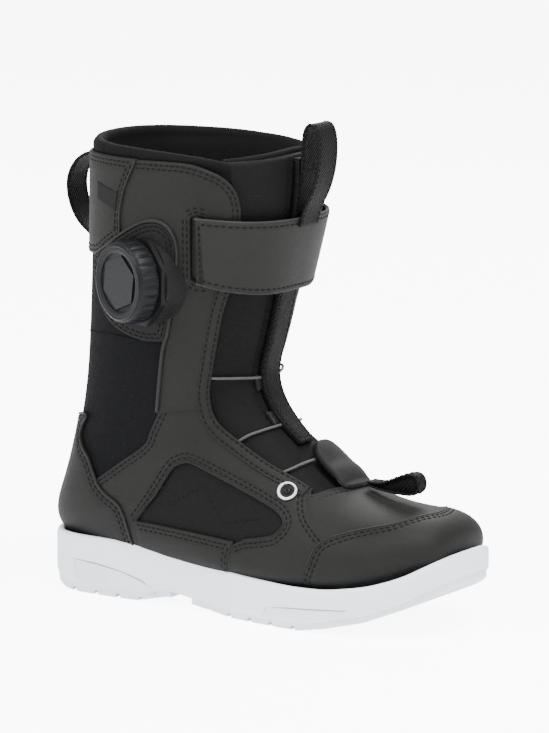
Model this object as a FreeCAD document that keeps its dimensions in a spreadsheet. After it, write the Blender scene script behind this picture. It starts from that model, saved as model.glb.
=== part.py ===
"""Junior snowboard boot, right foot, with a dial closure, a power strap and a removable liner.

The boot is drawn from its heel point: X runs to the toe, Y to the inner (medial) side, Z up from the floor.
Every piece is then moved so that the frame's origin is the middle of the base.
The upper, the tongue and the liner are layers of one last-shaped form, lofted through girth sections.
"""
import FreeCAD, Part
import Sketcher
import math
import os
from functools import lru_cache

from FreeCAD import Placement, Rotation, Vector

DOC = FreeCAD.newDocument("snowboard_boot")
SHEET = DOC.addObject("Spreadsheet::Sheet", "dimensions")

# ------------------------------------------------------------------ driving dimensions, millimetres and degrees
DIMENSIONS = [
    ("origin_x", 133.2, "heel point to the middle of the base"),
    ("origin_y", -6.5, "centre plane to the middle of the base"),
    ("panel_thick", 3.0, "outer panels with their foam backing"),
    ("inset_thick", 1.8, "soft panels that lie recessed between the outer ones"),
    ("layer_gap", 0.35, "air between one layer and the next"),
    ("tongue_thick", 4.0, "outer tongue"),
    ("liner_thick", 7.0, "liner foam"),
    ("liner_tongue_thick", 4.0, "liner tongue"),
    ("board_thick", 3.0, "lasting board"),
    ("footbed_thick", 4.0, "footbed"),
    ("outsole_thick", 4.0, "rubber pads under the foam sole"),
    ("insert_depth", 2.6, "side inserts of the foam sole"),
    ("groove_width", 3.0, "tread grooves"),
    ("groove_depth", 2.2, "tread grooves"),
    ("strap_thick", 2.6, "power strap"),
    ("strap_lift", 2.2, "strap clear of the cuffs"),
    ("strap_low", 187.0, "lower edge of the power strap"),
    ("strap_high", 229.0, "upper edge of the power strap"),
    ("webbing_thick", 1.5, "webbing strips and loops"),
    ("webbing_wide", 20.0, "webbing strips and loops"),
    ("lace_radius", 0.8, "coated steel lace"),
    ("lace_depth", 1.5, "lace centre below the form's surface"),
    ("dial_x", 83.0, "dial axis on the outer side"),
    ("dial_y", -52.5, "underside of the dial housing on its axis"),
    ("dial_z", 192.0, "dial height"),
    ("dial_turned", 20.5, "dial axis turned backwards from square"),
    ("knob_radius", 24.3, "dial knob"),
    ("knob_high", 12.5, "dial knob"),
    ("knob_lift", 3.0, "travel of the knob when it is pulled to release"),
    ("grip_count", 24, "finger grooves round the knob"),
    ("grip_radius", 1.3, "finger grooves round the knob"),
    ("cap_flat", 14.0, "centre of the hexagonal cap to a flat"),
    ("base_radius", 27.0, "dial housing flange"),
    ("base_high", 3.0, "dial housing flange"),
    ("housing_radius", 19.0, "dial housing barrel"),
    ("housing_high", 9.0, "dial housing barrel above the flange"),
    ("spool_radius", 12.0, "lace spool flanges"),
    ("spool_core", 7.5, "lace spool core"),
    ("spool_high", 5.0, "lace spool"),
    ("rotor_radius", 15.5, "pawl disc"),
    ("rotor_high", 2.4, "pawl disc"),
    ("axle_radius", 2.0, "dial screw shank"),
    ("badge_radius", 6.0, "ring badge"),
]
for row, (alias, value, note) in enumerate(DIMENSIONS, start=1):
    SHEET.set(f"A{row}", alias)
    SHEET.set(f"B{row}", str(value))
    SHEET.set(f"C{row}", note)
    SHEET.setAlias(f"B{row}", alias)
DOC.recompute()


def size(alias):
    """The value that the sheet holds for one driving dimension."""
    return float(getattr(SHEET, alias))


TO_FRAME = Placement(Vector(-size("origin_x"), -size("origin_y"), 0), Rotation())

# ------------------------------------------------------------------ the form: one row per girth section
# front or top point (x, z), back or bottom point (x, z), half width, height of the widest point
# as a share from front to back, and the roundness of the front half and of the back half
STATIONS = [
    (265.5, 48.5, 265.5, 45.5, 2, 0.55, 2.0, 2.0),
    (263, 57, 262, 37.5, 23, 0.55, 2.2, 2.3),
    (256, 63, 254, 32, 33.5, 0.58, 2.3, 2.6),
    (245, 66, 240, 27, 41.5, 0.62, 2.3, 3.0),
    (229, 67, 220, 23, 47, 0.66, 2.3, 3.3),
    (211, 69.5, 197, 20.5, 49.5, 0.68, 2.3, 3.5),
    (193, 76, 169, 19, 49, 0.70, 2.3, 3.5),
    (176, 86.5, 137, 19, 46.5, 0.70, 2.3, 3.5),
    (161, 99, 103, 20, 44, 0.66, 2.4, 3.3),
    (148, 112, 66, 21, 42, 0.58, 2.5, 3.0),
    (140, 124.5, 29, 22, 41, 0.50, 2.6, 2.7),
    (137.5, 138, -1, 35, 42, 0.48, 2.6, 2.5),
    (141, 153, 2, 60, 44, 0.48, 2.6, 2.4),
    (145.5, 171, 12, 92, 46, 0.48, 2.6, 2.4),
    (150.5, 192, 19, 127, 48.5, 0.48, 2.5, 2.4),
    (156, 216, 23, 170, 52, 0.48, 2.5, 2.4),
    (160.5, 240, 25.5, 214, 55, 0.48, 2.5, 2.4),
    (162, 263, 27, 262, 57, 0.48, 2.4, 2.4),
    (163, 285, 28, 290, 59, 0.48, 2.4, 2.4),
]
HALF_POINTS = 8  # points round each quarter of a section
TOE_BEND = 5.0  # how far the toe leans to the inner side
TOE_BEND_FROM = 120.0
TOE_BEND_LENGTH = 150.0


def centre_y(x):
    """The last curves to the inner side ahead of the instep."""
    share = min(max((x - TOE_BEND_FROM) / TOE_BEND_LENGTH, 0.0), 1.0)
    return TOE_BEND * share**1.5


def inset_stations(depth):
    """The rows with the side profile and the half width moved inwards by depth."""
    profile = [Vector(row[0], 0, row[1]) for row in reversed(STATIONS)]
    profile += [Vector(row[2], 0, row[3]) for row in STATIONS]
    moved = []
    for i, point in enumerate(profile):
        along = profile[min(i + 1, len(profile) - 1)] - profile[max(i - 1, 0)]
        moved.append(point + Vector(along.z, 0, -along.x).normalize() * depth)
    fronts = reversed(moved[: len(STATIONS)])
    backs = moved[len(STATIONS):]
    rows = []
    for row, front, back in zip(STATIONS, fronts, backs):
        if (front - back).Length > 1.0:
            rows.append((front.x, front.z, back.x, back.z, max(row[4] - depth, 1.5), *row[5:]))
    return rows


def half_section(row):
    """Points of one section from front to back on the inner side."""
    fx, fz, bx, bz, half_width, widest, round_front, round_back = row
    points = []
    for i in range(2 * HALF_POINTS + 1):
        if i <= HALF_POINTS:
            angle = math.pi / 2 * i / HALF_POINTS
            share = widest * (1 - math.cos(angle) ** (2 / round_front))
            across = math.sin(angle) ** (2 / round_front)
        else:
            angle = math.pi / 2 * (2 * HALF_POINTS - i) / HALF_POINTS
            share = 1 - (1 - widest) * (1 - math.cos(angle) ** (2 / round_back))
            across = math.sin(angle) ** (2 / round_back)
        x = fx + (bx - fx) * share
        points.append(Vector(x, centre_y(x) + half_width * across, fz + (bz - fz) * share))
    return points


@lru_cache(maxsize=None)
def form_surface(depth):
    """A smooth closed surface through the girth sections, at depth inside the outer surface."""
    rings = []
    for row in inset_stations(depth):
        inner = half_section(row)
        outer = [Vector(p.x, 2 * centre_y(p.x) - p.y, p.z) for p in reversed(inner[1:-1])]
        points = inner + outer
        ring = Part.BSplineCurve()
        steps = [i / len(points) for i in range(len(points) + 1)]
        ring.interpolate(Points=points, PeriodicFlag=True, Parameters=steps)
        rings.append(ring)
    steps = [i / (len(rings) - 1) for i in range(len(rings))]
    lengthwise = []
    for column in zip(*[ring.getPoles() for ring in rings]):
        line = Part.BSplineCurve()
        line.interpolate(Points=list(column), Parameters=steps)
        lengthwise.append(line)
    poles = [list(row) for row in zip(*[line.getPoles() for line in lengthwise])]
    along, round_ = lengthwise[0], rings[0]
    surface = Part.BSplineSurface()
    surface.buildFromPolesMultsKnots(
        poles, along.getMultiplicities(), round_.getMultiplicities(),
        along.getKnots(), round_.getKnots(), False, True, along.Degree, round_.Degree)
    return surface


def form(depth):
    """The solid inside that surface."""
    surface = form_surface(depth)
    caps = [Part.Face(Part.Wire(surface.uIso(end).toShape())) for end in (0.0, 1.0)]
    shell = Part.Shell([surface.toShape(), *caps])
    shell.sewShape()
    solid = Part.Solid(shell)
    if solid.Volume < 0:
        solid.reverse()
    return solid


def layer(outer, inner):
    """The material between two depths of the form."""
    return form(outer).cut(form(inner))


# ------------------------------------------------------------------ cutting tools
REACH = 200.0  # longer than any part of the boot is wide
OUTER, INNER, BOTH = "outer", "inner", "both"


def prism(outline, side=BOTH):
    """A side-view outline of (x, z) points, pushed through one side of the boot or both."""
    start = {OUTER: -REACH, INNER: 0.0, BOTH: -REACH}[side]
    length = {OUTER: REACH, INNER: REACH, BOTH: 2 * REACH}[side]
    points = [Vector(x, start, z) for x, z in outline]
    face = Part.Face(Part.makePolygon([*points, points[0]]))
    return face.extrude(Vector(0, length, 0))


def box(x, y, z):
    """A block between two limits on each axis."""
    return Part.makeBox(x[1] - x[0], y[1] - y[0], z[1] - z[0], Vector(x[0], y[0], z[0]))


SMALLEST_SOLID = 5.0  # mm3; anything smaller is a sliver left by a boolean


def single(shape):
    """A boolean's result without slivers: its one solid, or all of them together."""
    solids = [solid for solid in shape.Solids if solid.Volume > SMALLEST_SOLID]
    return solids[0] if len(solids) == 1 else Part.makeCompound(solids)


PIECES = []


def add(feature, label):
    """Names one finished sub-part."""
    feature.Label = label
    PIECES.append(feature)
    return feature


def soft_piece(label, shape):
    """A sub-part with the form's free curves, placed in the boot's frame."""
    feature = DOC.addObject("Part::Feature", label)
    feature.Shape = single(shape)
    feature.Placement = TO_FRAME
    return add(feature, label)


# ------------------------------------------------------------------ side-view lines, (x, z) in millimetres
FAR_BELOW = -30.0
FAR_ABOVE = 330.0
FAR_BACK = -40.0
FAR_FRONT = 320.0

THROAT = [(144, 246), (144, 233), (135, 190), (129, 171), (120, 137), (119, 123), (123, 111),
          (136, 101), (154, 90), (179, 78)]
COUNTER_EDGE = [(34, 107), (28, 94), (37, 82), (42, 70), (59, 57), (62, 47), (67, 30)]
QUARTER_TOP = [(42, 70), (77, 94), (82, 103), (88, 114)]
CUFF_REAR = [(89, 116), (95, 153), (99, 164), (105, 191), (108, 213), (105, 223), (96, 227), (85, 224), (72, 217)]
VAMP_SEAM = [(179, 78), (182, 70), (193, 59), (202, 52)]
RIDGE = [(202, 52), (213, 57), (225, 60), (247, 65)]
CUFF_TOP = [(66, 261), (120, 261), (125, 259), (137, 254), (144, 246)]
WINDOW = [(70, 47), (98, 84), (106, 87), (112, 85), (161, 68), (171, 63), (174, 58), (170, 51),
          (148, 45), (140, 45)]
BOARD_LINE = [(15, 27), (29, 25.5), (66, 24.5), (103, 23.5), (137, 22.5), (169, 22.5), (197, 24),
              (220, 26.5), (240, 30.5), (254, 35.5), (262, 39)]


def in_front_of(line, shift=0.0):
    """The region ahead of a line that runs from the top down."""
    moved = [(x + shift, z) for x, z in line]
    last_x, last_z = moved[-1][0], moved[-1][1] + shift
    return [(moved[0][0], FAR_ABOVE), *moved[:-1], (last_x, last_z), (last_x + 30, last_z + 15),
            (FAR_FRONT, 150), (FAR_FRONT, FAR_ABOVE)]


def below(line, rise=0.0):
    """The region under a line that runs from the back forwards."""
    return [(line[0][0], FAR_BELOW), *[(x, z + rise) for x, z in line], (line[-1][0], FAR_BELOW)]


# ------------------------------------------------------------------ sole: foam cup, rubber pads, inserts and shank
SOLE_OUTLINE = [(-6, 0), (-3, -14), (4, -26), (14, -33), (30, -36.5), (90, -38), (120, -42), (150, -47.5),
                (190, -52), (230, -49), (250, -42), (262, -31), (270, -14), (272.5, 3), (270, 22),
                (262, 36), (250, 44), (230, 49), (190, 48.5), (150, 41), (120, 36), (90, 35),
                (30, 36), (14, 33), (4, 26), (-3, 14)]
SOLE_TOP = [(-10, 34), (60, 34), (90, 32), (120, 28), (150, 25.5), (180, 24.5), (205, 25), (230, 29),
            (250, 35), (262, 41), (270, 46), (276, 49)]
SOLE_BOTTOM = [(-10, 15), (-6, 12), (-3, 8), (4, 4), (14, 1), (22, 0), (68, 0), (90, 5), (120, 2), (140, 0),
               (188, 0), (205, 3), (230, 9), (250, 17), (262, 24), (270, 29), (276, 33)]
HEEL_PAD_END = 92.0
FOREFOOT_PAD_START = 108.0
PAD_INSET = 1.6
HEEL_INSERT = [(22, 20), (58, 16), (80, 9), (84, 6), (26, 6)]
FOREFOOT_INSERT = [(164, 5.5), (167, 11), (222, 15), (227, 12), (205, 8)]


def sole_planform(inset):
    """The sole seen from below, a smooth closed outline, pushed up through its height."""
    corners = [Vector(x, y, -5) for x, y in SOLE_OUTLINE]
    moved = []
    for before, corner, after in zip([corners[-1], *corners], corners, [*corners[1:], corners[0]]):
        along = after - before
        moved.append(corner + Vector(-along.y, along.x, 0).normalize() * inset)
    curve = Part.BSplineCurve()
    curve.interpolate(moved, PeriodicFlag=True)
    return Part.Face(Part.Wire(curve.toShape())).extrude(Vector(0, 0, 70))


def sole_band(low, high):
    """The side profile between two lines."""
    return prism([*low, *reversed(high)])


def lifted(line, rise):
    """A side-view line raised by rise."""
    return [(x, z + rise) for x, z in line]


PAD_TOP = lifted(SOLE_BOTTOM, size("outsole_thick"))
cup = sole_planform(0).common(sole_band(PAD_TOP, SOLE_TOP)).cut(form(-0.15))
pads = sole_planform(PAD_INSET).common(sole_band(SOLE_BOTTOM, lifted(SOLE_BOTTOM, size("outsole_thick") - 0.05)))
rim = sole_planform(0).cut(sole_planform(size("insert_depth")))
inserts = {}
for side in (OUTER, INNER):
    for name, outline in (("heel", HEEL_INSERT), ("forefoot", FOREFOOT_INSERT)):
        inserts[f"{name}_insert_{side}"] = rim.common(prism(outline, side)).common(cup)
SHANK_PLACE = Vector(55, -11, 12)
SHANK_SIZE = (100, 22, 1.6)
shank = DOC.addObject("Part::Box", "shank")
shank.Length, shank.Width, shank.Height = SHANK_SIZE
shank.Placement = TO_FRAME * Placement(SHANK_PLACE, Rotation())
add(shank, "shank")
cup = cup.cut(Part.makeBox(*SHANK_SIZE, SHANK_PLACE))
for label, insert in inserts.items():
    cup = cup.cut(insert)
    soft_piece(label, insert)
soft_piece("midsole", cup)


def tread(pad, first, last, pitch, lean):
    """The pad with slanted grooves across its underside."""
    depth = size("groove_depth")
    grooves = []
    for i in range(int((last - first) / pitch)):
        x = first + (i + 0.5) * pitch
        low = min(z for point_x, z in SOLE_BOTTOM if abs(point_x - x) < 26)
        groove = Part.makeBox(size("groove_width"), 130, depth + 12, Vector(x, -65, low - 12))
        groove.rotate(Vector(x, 0, 0), Vector(0, 0, 1), lean)
        floor = prism([*lifted(SOLE_BOTTOM, depth), (276, -30), (-10, -30)])
        grooves.append(groove.common(floor))
    return pad.cut(Part.makeCompound(grooves))


heel_pad = pads.common(box((-20, HEEL_PAD_END), (-80, 80), (-5, 60)))
forefoot_pad = pads.common(box((FOREFOOT_PAD_START, 290), (-80, 80), (-5, 60)))
soft_piece("outsole_heel", tread(heel_pad, 8, 84, 16, 8))
soft_piece("outsole_forefoot", tread(forefoot_pad, 118, 262, 16, -8))

# ------------------------------------------------------------------ the dial's axis and the pocket that it sits in
dial_axis = Vector(-math.sin(math.radians(size("dial_turned"))), -math.cos(math.radians(size("dial_turned"))), 0)
dial_seat = Vector(size("dial_x"), size("dial_y"), size("dial_z"))
DIAL = TO_FRAME * Placement(dial_seat, Rotation(Vector(0, 0, 1), dial_axis))
POCKET_CLEAR = 0.4
dial_pocket = Part.makeCylinder(size("base_radius") + POCKET_CLEAR, 40, dial_seat - dial_axis * 0.3, dial_axis)
wedge_post = Part.makeCylinder(size("base_radius") - 0.5, 25, dial_seat, -dial_axis)

# ------------------------------------------------------------------ upper: one layer cut along its seams
upper = layer(0.0, size("panel_thick"))
upper = upper.cut(prism([(FAR_BACK, 262), *CUFF_TOP, (FAR_FRONT, 246), (FAR_FRONT, FAR_ABOVE), (FAR_BACK, FAR_ABOVE)]))
upper = upper.cut(prism(in_front_of(THROAT)))
board_region = prism(below(BOARD_LINE))
soft_piece("lasting_board", upper.common(board_region))
upper = upper.cut(board_region)
recess = form(size("panel_thick") - size("inset_thick"))

TOE_CAP = [(192, FAR_BELOW), (192, 26), *RIDGE, (FAR_FRONT, 82), (FAR_FRONT, FAR_BELOW)]
VAMP = [(176, 96), *VAMP_SEAM, *RIDGE[1:], (247, 100)]
COUNTER = [(FAR_BACK, 107), *COUNTER_EDGE, (67, FAR_BELOW), (FAR_BACK, FAR_BELOW)]
RAND = [(67, FAR_BELOW), (67, 30), (62, 47), (70, 47), (140, 45), (140, FAR_BELOW)]
QUARTER = [(67, FAR_BELOW), (62, 47), (59, 57), *QUARTER_TOP, (95, 117), (116, 120), (119, 123),
           (160, 123), (179, 84), (202, 52), (202, FAR_BELOW)]
DIAL_PANEL = [*CUFF_REAR, (48, 205), (50, 182), (62, 152), (80, 118)]
CUFF = [*CUFF_REAR, (71, 220), (75, 242), (85, FAR_ABOVE), (FAR_FRONT, FAR_ABOVE), (FAR_FRONT, 123),
        (119, 123), (116, 120), (95, 117)]
BACK_PANEL = [(FAR_BACK, FAR_ABOVE), (88, FAR_ABOVE), (75, 242), (71, 220), (72, 217), (48, 205), (FAR_BACK, 200)]
STRAP_SLOT = [(120, 194), (123, 194), (125, 231), (122, 231)]


def take(outline, side=BOTH, recessed=False):
    """Takes one panel off what is left of the upper."""
    global upper
    region = prism(outline, side)
    panel = upper.common(region)
    upper = upper.cut(region)
    return panel.common(recess) if recessed else panel


# ------------------------------------------------------------------ the lace, inside the panels and over the tongue
def on_form(depth, station, turn):
    """A point at depth: station counts the rows of the form, turn runs from 0 in front to 16 behind.

    A negative turn is on the outer side.
    """
    surface = form_surface(depth)
    return surface.value(station / (len(STATIONS) - 1), (turn % (4 * HALF_POINTS)) / (4 * HALF_POINTS))


LACE_ROUTE = [
    (14.1, -7.9, 1.5), (13.7, -7.2, 1.5), (13.2, -6.5, 1.5), (12.7, -5.9, 1.5), (12.2, -5.3, 1.5),
    (11.8, -4.6, 1.2), (11.4, -3.4, 0.6), (11.0, -2.0, 0.5), (10.75, -0.7, 0.5), (10.75, 0.7, 0.5),
    (11.0, 2.0, 0.5), (11.4, 3.4, 0.6), (11.6, 4.6, 1.2), (11.3, 5.3, 1.5), (10.7, 5.6, 1.5),
    (10.1, 5.6, 1.5), (9.5, 5.2, 1.5), (9.2, 4.4, 1.3), (9.05, 3.3, 0.7), (8.85, 1.9, 0.5),
    (8.75, 0.6, 0.5), (8.75, -0.6, 0.5), (8.85, -1.9, 0.5), (9.05, -3.3, 0.7), (9.1, -4.4, 1.3),
    (8.9, -5.1, 1.5), (8.45, -5.2, 1.5), (8.0, -4.7, 1.5), (7.65, -3.8, 1.5), (7.45, -2.7, 1.1),
    (7.35, -1.5, 0.5), (7.3, -0.4, 0.5), (7.35, 1.0, 0.5), (7.45, 2.4, 1.1), (7.6, 3.4, 1.5),
]


def rounded_path(points, largest):
    """Straight runs joined by tangent arcs, each as large as its two runs allow, up to largest."""
    edges = []
    start = points[0]
    for before, corner, after in zip(points, points[1:], points[2:]):
        back = (before - corner).normalize()
        ahead = (after - corner).normalize()
        half_turn = (math.pi - back.getAngle(ahead)) / 2
        shorter = min((before - corner).Length, (after - corner).Length)
        radius = min(0.45 * shorter / math.tan(half_turn), largest)
        reach = radius * math.tan(half_turn)
        bisector = (back + ahead).normalize()
        centre = corner + bisector * (radius / math.cos(half_turn))
        first, last = corner + back * reach, corner + ahead * reach
        middle = centre - bisector * radius
        edges.append(Part.LineSegment(start, first).toShape())
        edges.append(Part.Arc(first, middle, last).toShape())
        start = last
    edges.append(Part.LineSegment(start, points[-1]).toShape())
    return Part.Wire(edges)


def tube(path, radius):
    """A round tube along a path."""
    start = path.Edges[0]
    direction = start.tangentAt(start.FirstParameter)
    circle = Part.Wire(Part.makeCircle(radius, start.valueAt(start.FirstParameter), direction))
    return path.makePipeShell([circle], True, True, 1)


LACE_LARGEST_BEND = 400.0
CHANNEL_CLEARANCE = 0.25
lace_path = rounded_path([on_form(depth, station, turn) for station, turn, depth in LACE_ROUTE], LACE_LARGEST_BEND)
lace = tube(lace_path, size("lace_radius"))
channel = tube(lace_path, size("lace_radius") + CHANNEL_CLEARANCE)
soft_piece("lace", lace)
print(f"lace length {lace_path.Length:.1f} mm")

BAND_BACK, BAND_DOWN = 8.5, 2.5  # the throat band reaches this far from the throat's edge
THROAT_BAND = [(x - BAND_BACK, z - BAND_DOWN) for x, z in THROAT[1:]]
soft_piece("toe_cap", take(TOE_CAP))
soft_piece("vamp", take(VAMP))
soft_piece("heel_counter", take(COUNTER))
for side in (OUTER, INNER):
    band = in_front_of([(135, 260), *THROAT_BAND, (176, 68)])
    soft_piece(f"throat_band_{side}", take(band, side).cut(channel))
    soft_piece(f"side_window_{side}", take(WINDOW, side, recessed=True).cut(channel))
    soft_piece(f"side_rand_{side}", take(RAND, side))
    soft_piece(f"quarter_{side}", take(QUARTER, side).cut(channel))
soft_piece("dial_panel", take(DIAL_PANEL, OUTER).cut(dial_pocket).cut(channel))
soft_piece("dial_wedge", wedge_post.cut(form(-0.1)))
slot = prism(STRAP_SLOT, OUTER)
soft_piece("cuff_outer", take(CUFF, OUTER).cut(slot).cut(dial_pocket).cut(channel))
soft_piece("cuff_inner", take(CUFF, INNER).cut(channel))
soft_piece("back_panel", take(BACK_PANEL).cut(dial_pocket))
soft_piece("back_softshell", upper.common(recess).cut(dial_pocket))

# ------------------------------------------------------------------ tongue, its sewn foot and the webbing on it
TONGUE_DEPTH = 2.3  # the tongue lies this far below the throat's edges
TONGUE_CLEAR = 0.8
TONGUE_TOP = 264.0
FOLD = [(146, 90), (153, 95.5), (164, 106)]  # the line in front of which the sewn foot starts
throat_region = prism(in_front_of(THROAT, TONGUE_CLEAR))
under_top = box((0, 220), (-100, 100), (0, TONGUE_TOP))
foot_side = prism([*FOLD, (FAR_FRONT, 106), (FAR_FRONT, 40), (146, 40)])
foot_cut = prism([(FOLD[0][0] - 0.9, FOLD[0][1] + 0.9), (FOLD[1][0] - 0.9, FOLD[1][1] + 0.9),
                  (FOLD[2][0] - 0.9, FOLD[2][1] + 0.9), (FAR_FRONT, 107), (FAR_FRONT, 30), (145, 30)])
tongue_layer = layer(TONGUE_DEPTH, TONGUE_DEPTH + size("tongue_thick"))
liner_front_depth = TONGUE_DEPTH + size("tongue_thick") + size("layer_gap")
liner_tongue_layer = layer(liner_front_depth, liner_front_depth + size("liner_tongue_thick"))
soft_piece("tongue", tongue_layer.common(throat_region).common(under_top).cut(foot_cut))
soft_piece("tongue_foot", tongue_layer.common(throat_region).common(foot_side))
soft_piece("liner_tongue", liner_tongue_layer.common(throat_region).cut(foot_cut)
           .common(box((0, 220), (-100, 100), (0, TONGUE_TOP + 3))))

webbing_strip = box((100, 200), (-size("webbing_wide") / 2, size("webbing_wide") / 2), (107, TONGUE_TOP))
webbing_layer = layer(-size("webbing_thick"), 0.0)
soft_piece("tongue_webbing", webbing_layer.common(webbing_strip))
for name, low, high in (("upper", 127, 136), ("lower", 108.5, 116)):
    tunnel = layer(0.05, TONGUE_DEPTH - 0.02).common(box((100, 200), (-8.5, 8.5), (low, high)))
    soft_piece(f"lace_tunnel_{name}", tunnel.cut(channel))

# ------------------------------------------------------------------ liner and footbed
liner_out = 0.35 + size("panel_thick")
liner_in = liner_out + size("liner_thick")
COLLAR_LINE = [(FAR_BACK, 252), (70, 252), (110, 250), (175, 243), (FAR_FRONT, 240)]
COLLAR_TOP = [(FAR_BACK, 267.5), (60, 268), (110, 266), (150, 262), (FAR_FRONT, 258)]
liner = layer(liner_out, liner_in).cut(prism(in_front_of(THROAT)))
liner = liner.cut(prism([*COLLAR_TOP, (FAR_FRONT, FAR_ABOVE), (FAR_BACK, FAR_ABOVE)]))
collar_region = prism([*COLLAR_LINE, (FAR_FRONT, FAR_ABOVE), (FAR_BACK, FAR_ABOVE)])
soft_piece("liner_collar", liner.common(collar_region))
soft_piece("liner_shell", liner.cut(collar_region).cut(dial_pocket))
bed_out = liner_in + 0.2
soft_piece("footbed", layer(bed_out, bed_out + size("footbed_thick")).common(
    prism(below([(x, z + 17) for x, z in BOARD_LINE]))))

# ------------------------------------------------------------------ instep flap, toe loop, label and badge
FLAP = [(166, 130), (166, 96), (160, 84), (176, 72), (190, 69), (196, 74), (196, 100)]
FLAP_LIFT = 0.3
flap = layer(-2.3, -FLAP_LIFT).common(prism(FLAP)).common(box((150, 205), (-24, 26), (60, 130)))
soft_piece("instep_flap", flap)
LABEL = [(56, 244), (77, 239), (74, 229), (56, 236)]
soft_piece("woven_label", layer(-0.7, -0.1).common(prism(LABEL, OUTER)))

BADGE_DEPTH = -0.35  # just proud of the quarter
badge_place = on_form(BADGE_DEPTH, 7.0, -3.8)
badge = DOC.addObject("Part::Cylinder", "side_badge")
badge.setExpression("Radius", "dimensions.badge_radius")
badge.Height = 0.8
badge_surface = form_surface(BADGE_DEPTH)
badge_u, badge_v = badge_surface.parameter(badge_place)
badge_normal = badge_surface.normal(badge_u, badge_v)
if badge_normal.y > 0:
    badge_normal = -badge_normal
badge.Placement = TO_FRAME * Placement(badge_place, Rotation(Vector(0, 0, 1), badge_normal))
add(badge, "side_badge")

TOE_LOOP_MIDDLE = 10.0
TOE_LOOP = [(199, 74.2), (209, 71.6), (217, 72.5), (231, 79), (233, 85), (229, 86), (215, 76.5), (199, 77.6)]


def strip(outline, middle, wide):
    """A flat strip with a side-view outline, wide across the boot."""
    points = [Vector(x, middle - wide / 2, z) for x, z in outline]
    return Part.Face(Part.makePolygon([*points, points[0]])).extrude(Vector(0, wide, 0))


soft_piece("toe_loop", strip(TOE_LOOP, TOE_LOOP_MIDDLE, 17.0))


def webbing_loop(label, route, bend):
    """Webbing that follows a side-view route, sewn down at both ends, as wide as the sheet says."""
    path = rounded_path([Vector(x, 0, z) for x, z in route], bend)
    side_view = DOC.addObject("Part::Feature", f"{label}_side")
    side_view.Shape = path.makeOffset2D(size("webbing_thick"), fill=True, openResult=True)
    loop = DOC.addObject("Part::Extrusion", label)
    loop.Base = side_view
    loop.Dir = Vector(0, 1, 0)
    loop.Solid = True
    loop.Symmetric = True
    loop.setExpression("LengthFwd", "dimensions.webbing_wide")
    loop.Placement = TO_FRAME
    return add(loop, label)


HEEL_LOOP = [(25.0, 257), (14.0, 253), (3.0, 243), (2.5, 228), (11.0, 214), (23.0, 206)]
TONGUE_LOOP = [(163.0, 230.5), (171.5, 243), (175.5, 262), (175.0, 281), (165.5, 282), (163.8, 258)]
webbing_loop("heel_loop", HEEL_LOOP, 14.0)
webbing_loop("tongue_loop", TONGUE_LOOP, 20.0)

# ------------------------------------------------------------------ power strap
strap_in = -size("strap_lift")
strap_layer = layer(strap_in - size("strap_thick"), strap_in)
low, high = size("strap_low"), size("strap_high")
STRAP_OUTER = [(119.5, low + 7), (150, low), (200, low), (200, high), (150, high), (121.5, high + 2)]
STRAP_INNER = [(85, low + 5), (120, low + 3), (150, low), (200, low), (200, high), (150, high), (85, high + 1)]
strap = strap_layer.common(prism(STRAP_OUTER, OUTER).fuse(prism(STRAP_INNER, INNER)))
soft_piece("power_strap", strap)
TAB = [(116, 196), (124, 196), (125.5, 229), (118, 229)]
soft_piece("strap_anchor", layer(-1.6, -0.2).common(prism(TAB, OUTER)).fuse(
    layer(-0.3, 3.0).common(prism([(120.4, 196), (122.7, 196), (124.6, 229), (122.3, 229)], OUTER))))
HOOK_PATCH = [(88, low + 9), (122, low + 7), (122, high - 5), (88, high - 4)]
soft_piece("hook_patch", layer(-1.4, -0.2).common(prism(HOOK_PATCH, INNER)))

# ------------------------------------------------------------------ dial: its axis is the local Z, its flange at Z = 0
def cylinder(name, radius, height, lift, radius_extra=0.0):
    """A cylinder on the dial's axis with its sizes bound to the sheet."""
    piece = DOC.addObject("Part::Cylinder", name)
    piece.setExpression("Radius", f"{radius} + {radius_extra}")
    piece.setExpression("Height", str(height))
    piece.Placement = Placement(Vector(0, 0, lift), Rotation())
    return piece


def fused(name, *shapes):
    """Several solids joined into one."""
    piece = DOC.addObject("Part::MultiFuse", name)
    piece.Shapes = list(shapes)
    return piece


def cut(name, base, tool):
    """One solid with another taken off."""
    piece = DOC.addObject("Part::Cut", name)
    piece.Base = base
    piece.Tool = tool
    return piece


def hexagon(name, flat, sides, height, lift):
    """A straight prism on the dial's axis, flat being the radius of the circle through its corners."""
    piece = DOC.addObject("Part::Prism", name)
    piece.Polygon = sides
    piece.setExpression("Circumradius", flat)
    piece.setExpression("Height", str(height))
    piece.Placement = Placement(Vector(0, 0, lift), Rotation())
    return piece


FLOOR = 1.6  # the housing's floor under the spool
SPOOL_LIFT = 2.0
SPOOL_FLANGE = 1.0
ROTOR_LIFT = 8.2
KNOB_LIFT = 3.6
RUNNING_FIT = 0.25  # radial play on the screw
THROUGH = 30.0  # longer than the dial is high
FLANGE = "dimensions.base_high"
flange = hexagon("flange", "dimensions.base_radius", 8, FLANGE, 0)
barrel = cylinder("barrel", "dimensions.housing_radius", "dimensions.housing_high + dimensions.base_high", 0)
bore = cylinder("spool_bore", "dimensions.spool_radius", THROUGH, FLOOR, 0.5)
counterbore = cylinder("rotor_bore", "dimensions.rotor_radius", THROUGH, ROTOR_LIFT - 0.3, 0.4)
axle_hole = cylinder("axle_hole", "dimensions.axle_radius", THROUGH, -5)
housing = cut("dial_housing", fused("housing_body", flange, barrel),
              fused("housing_bores", bore, counterbore, axle_hole))
housing.Placement = DIAL
add(housing, "dial_housing")

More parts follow.
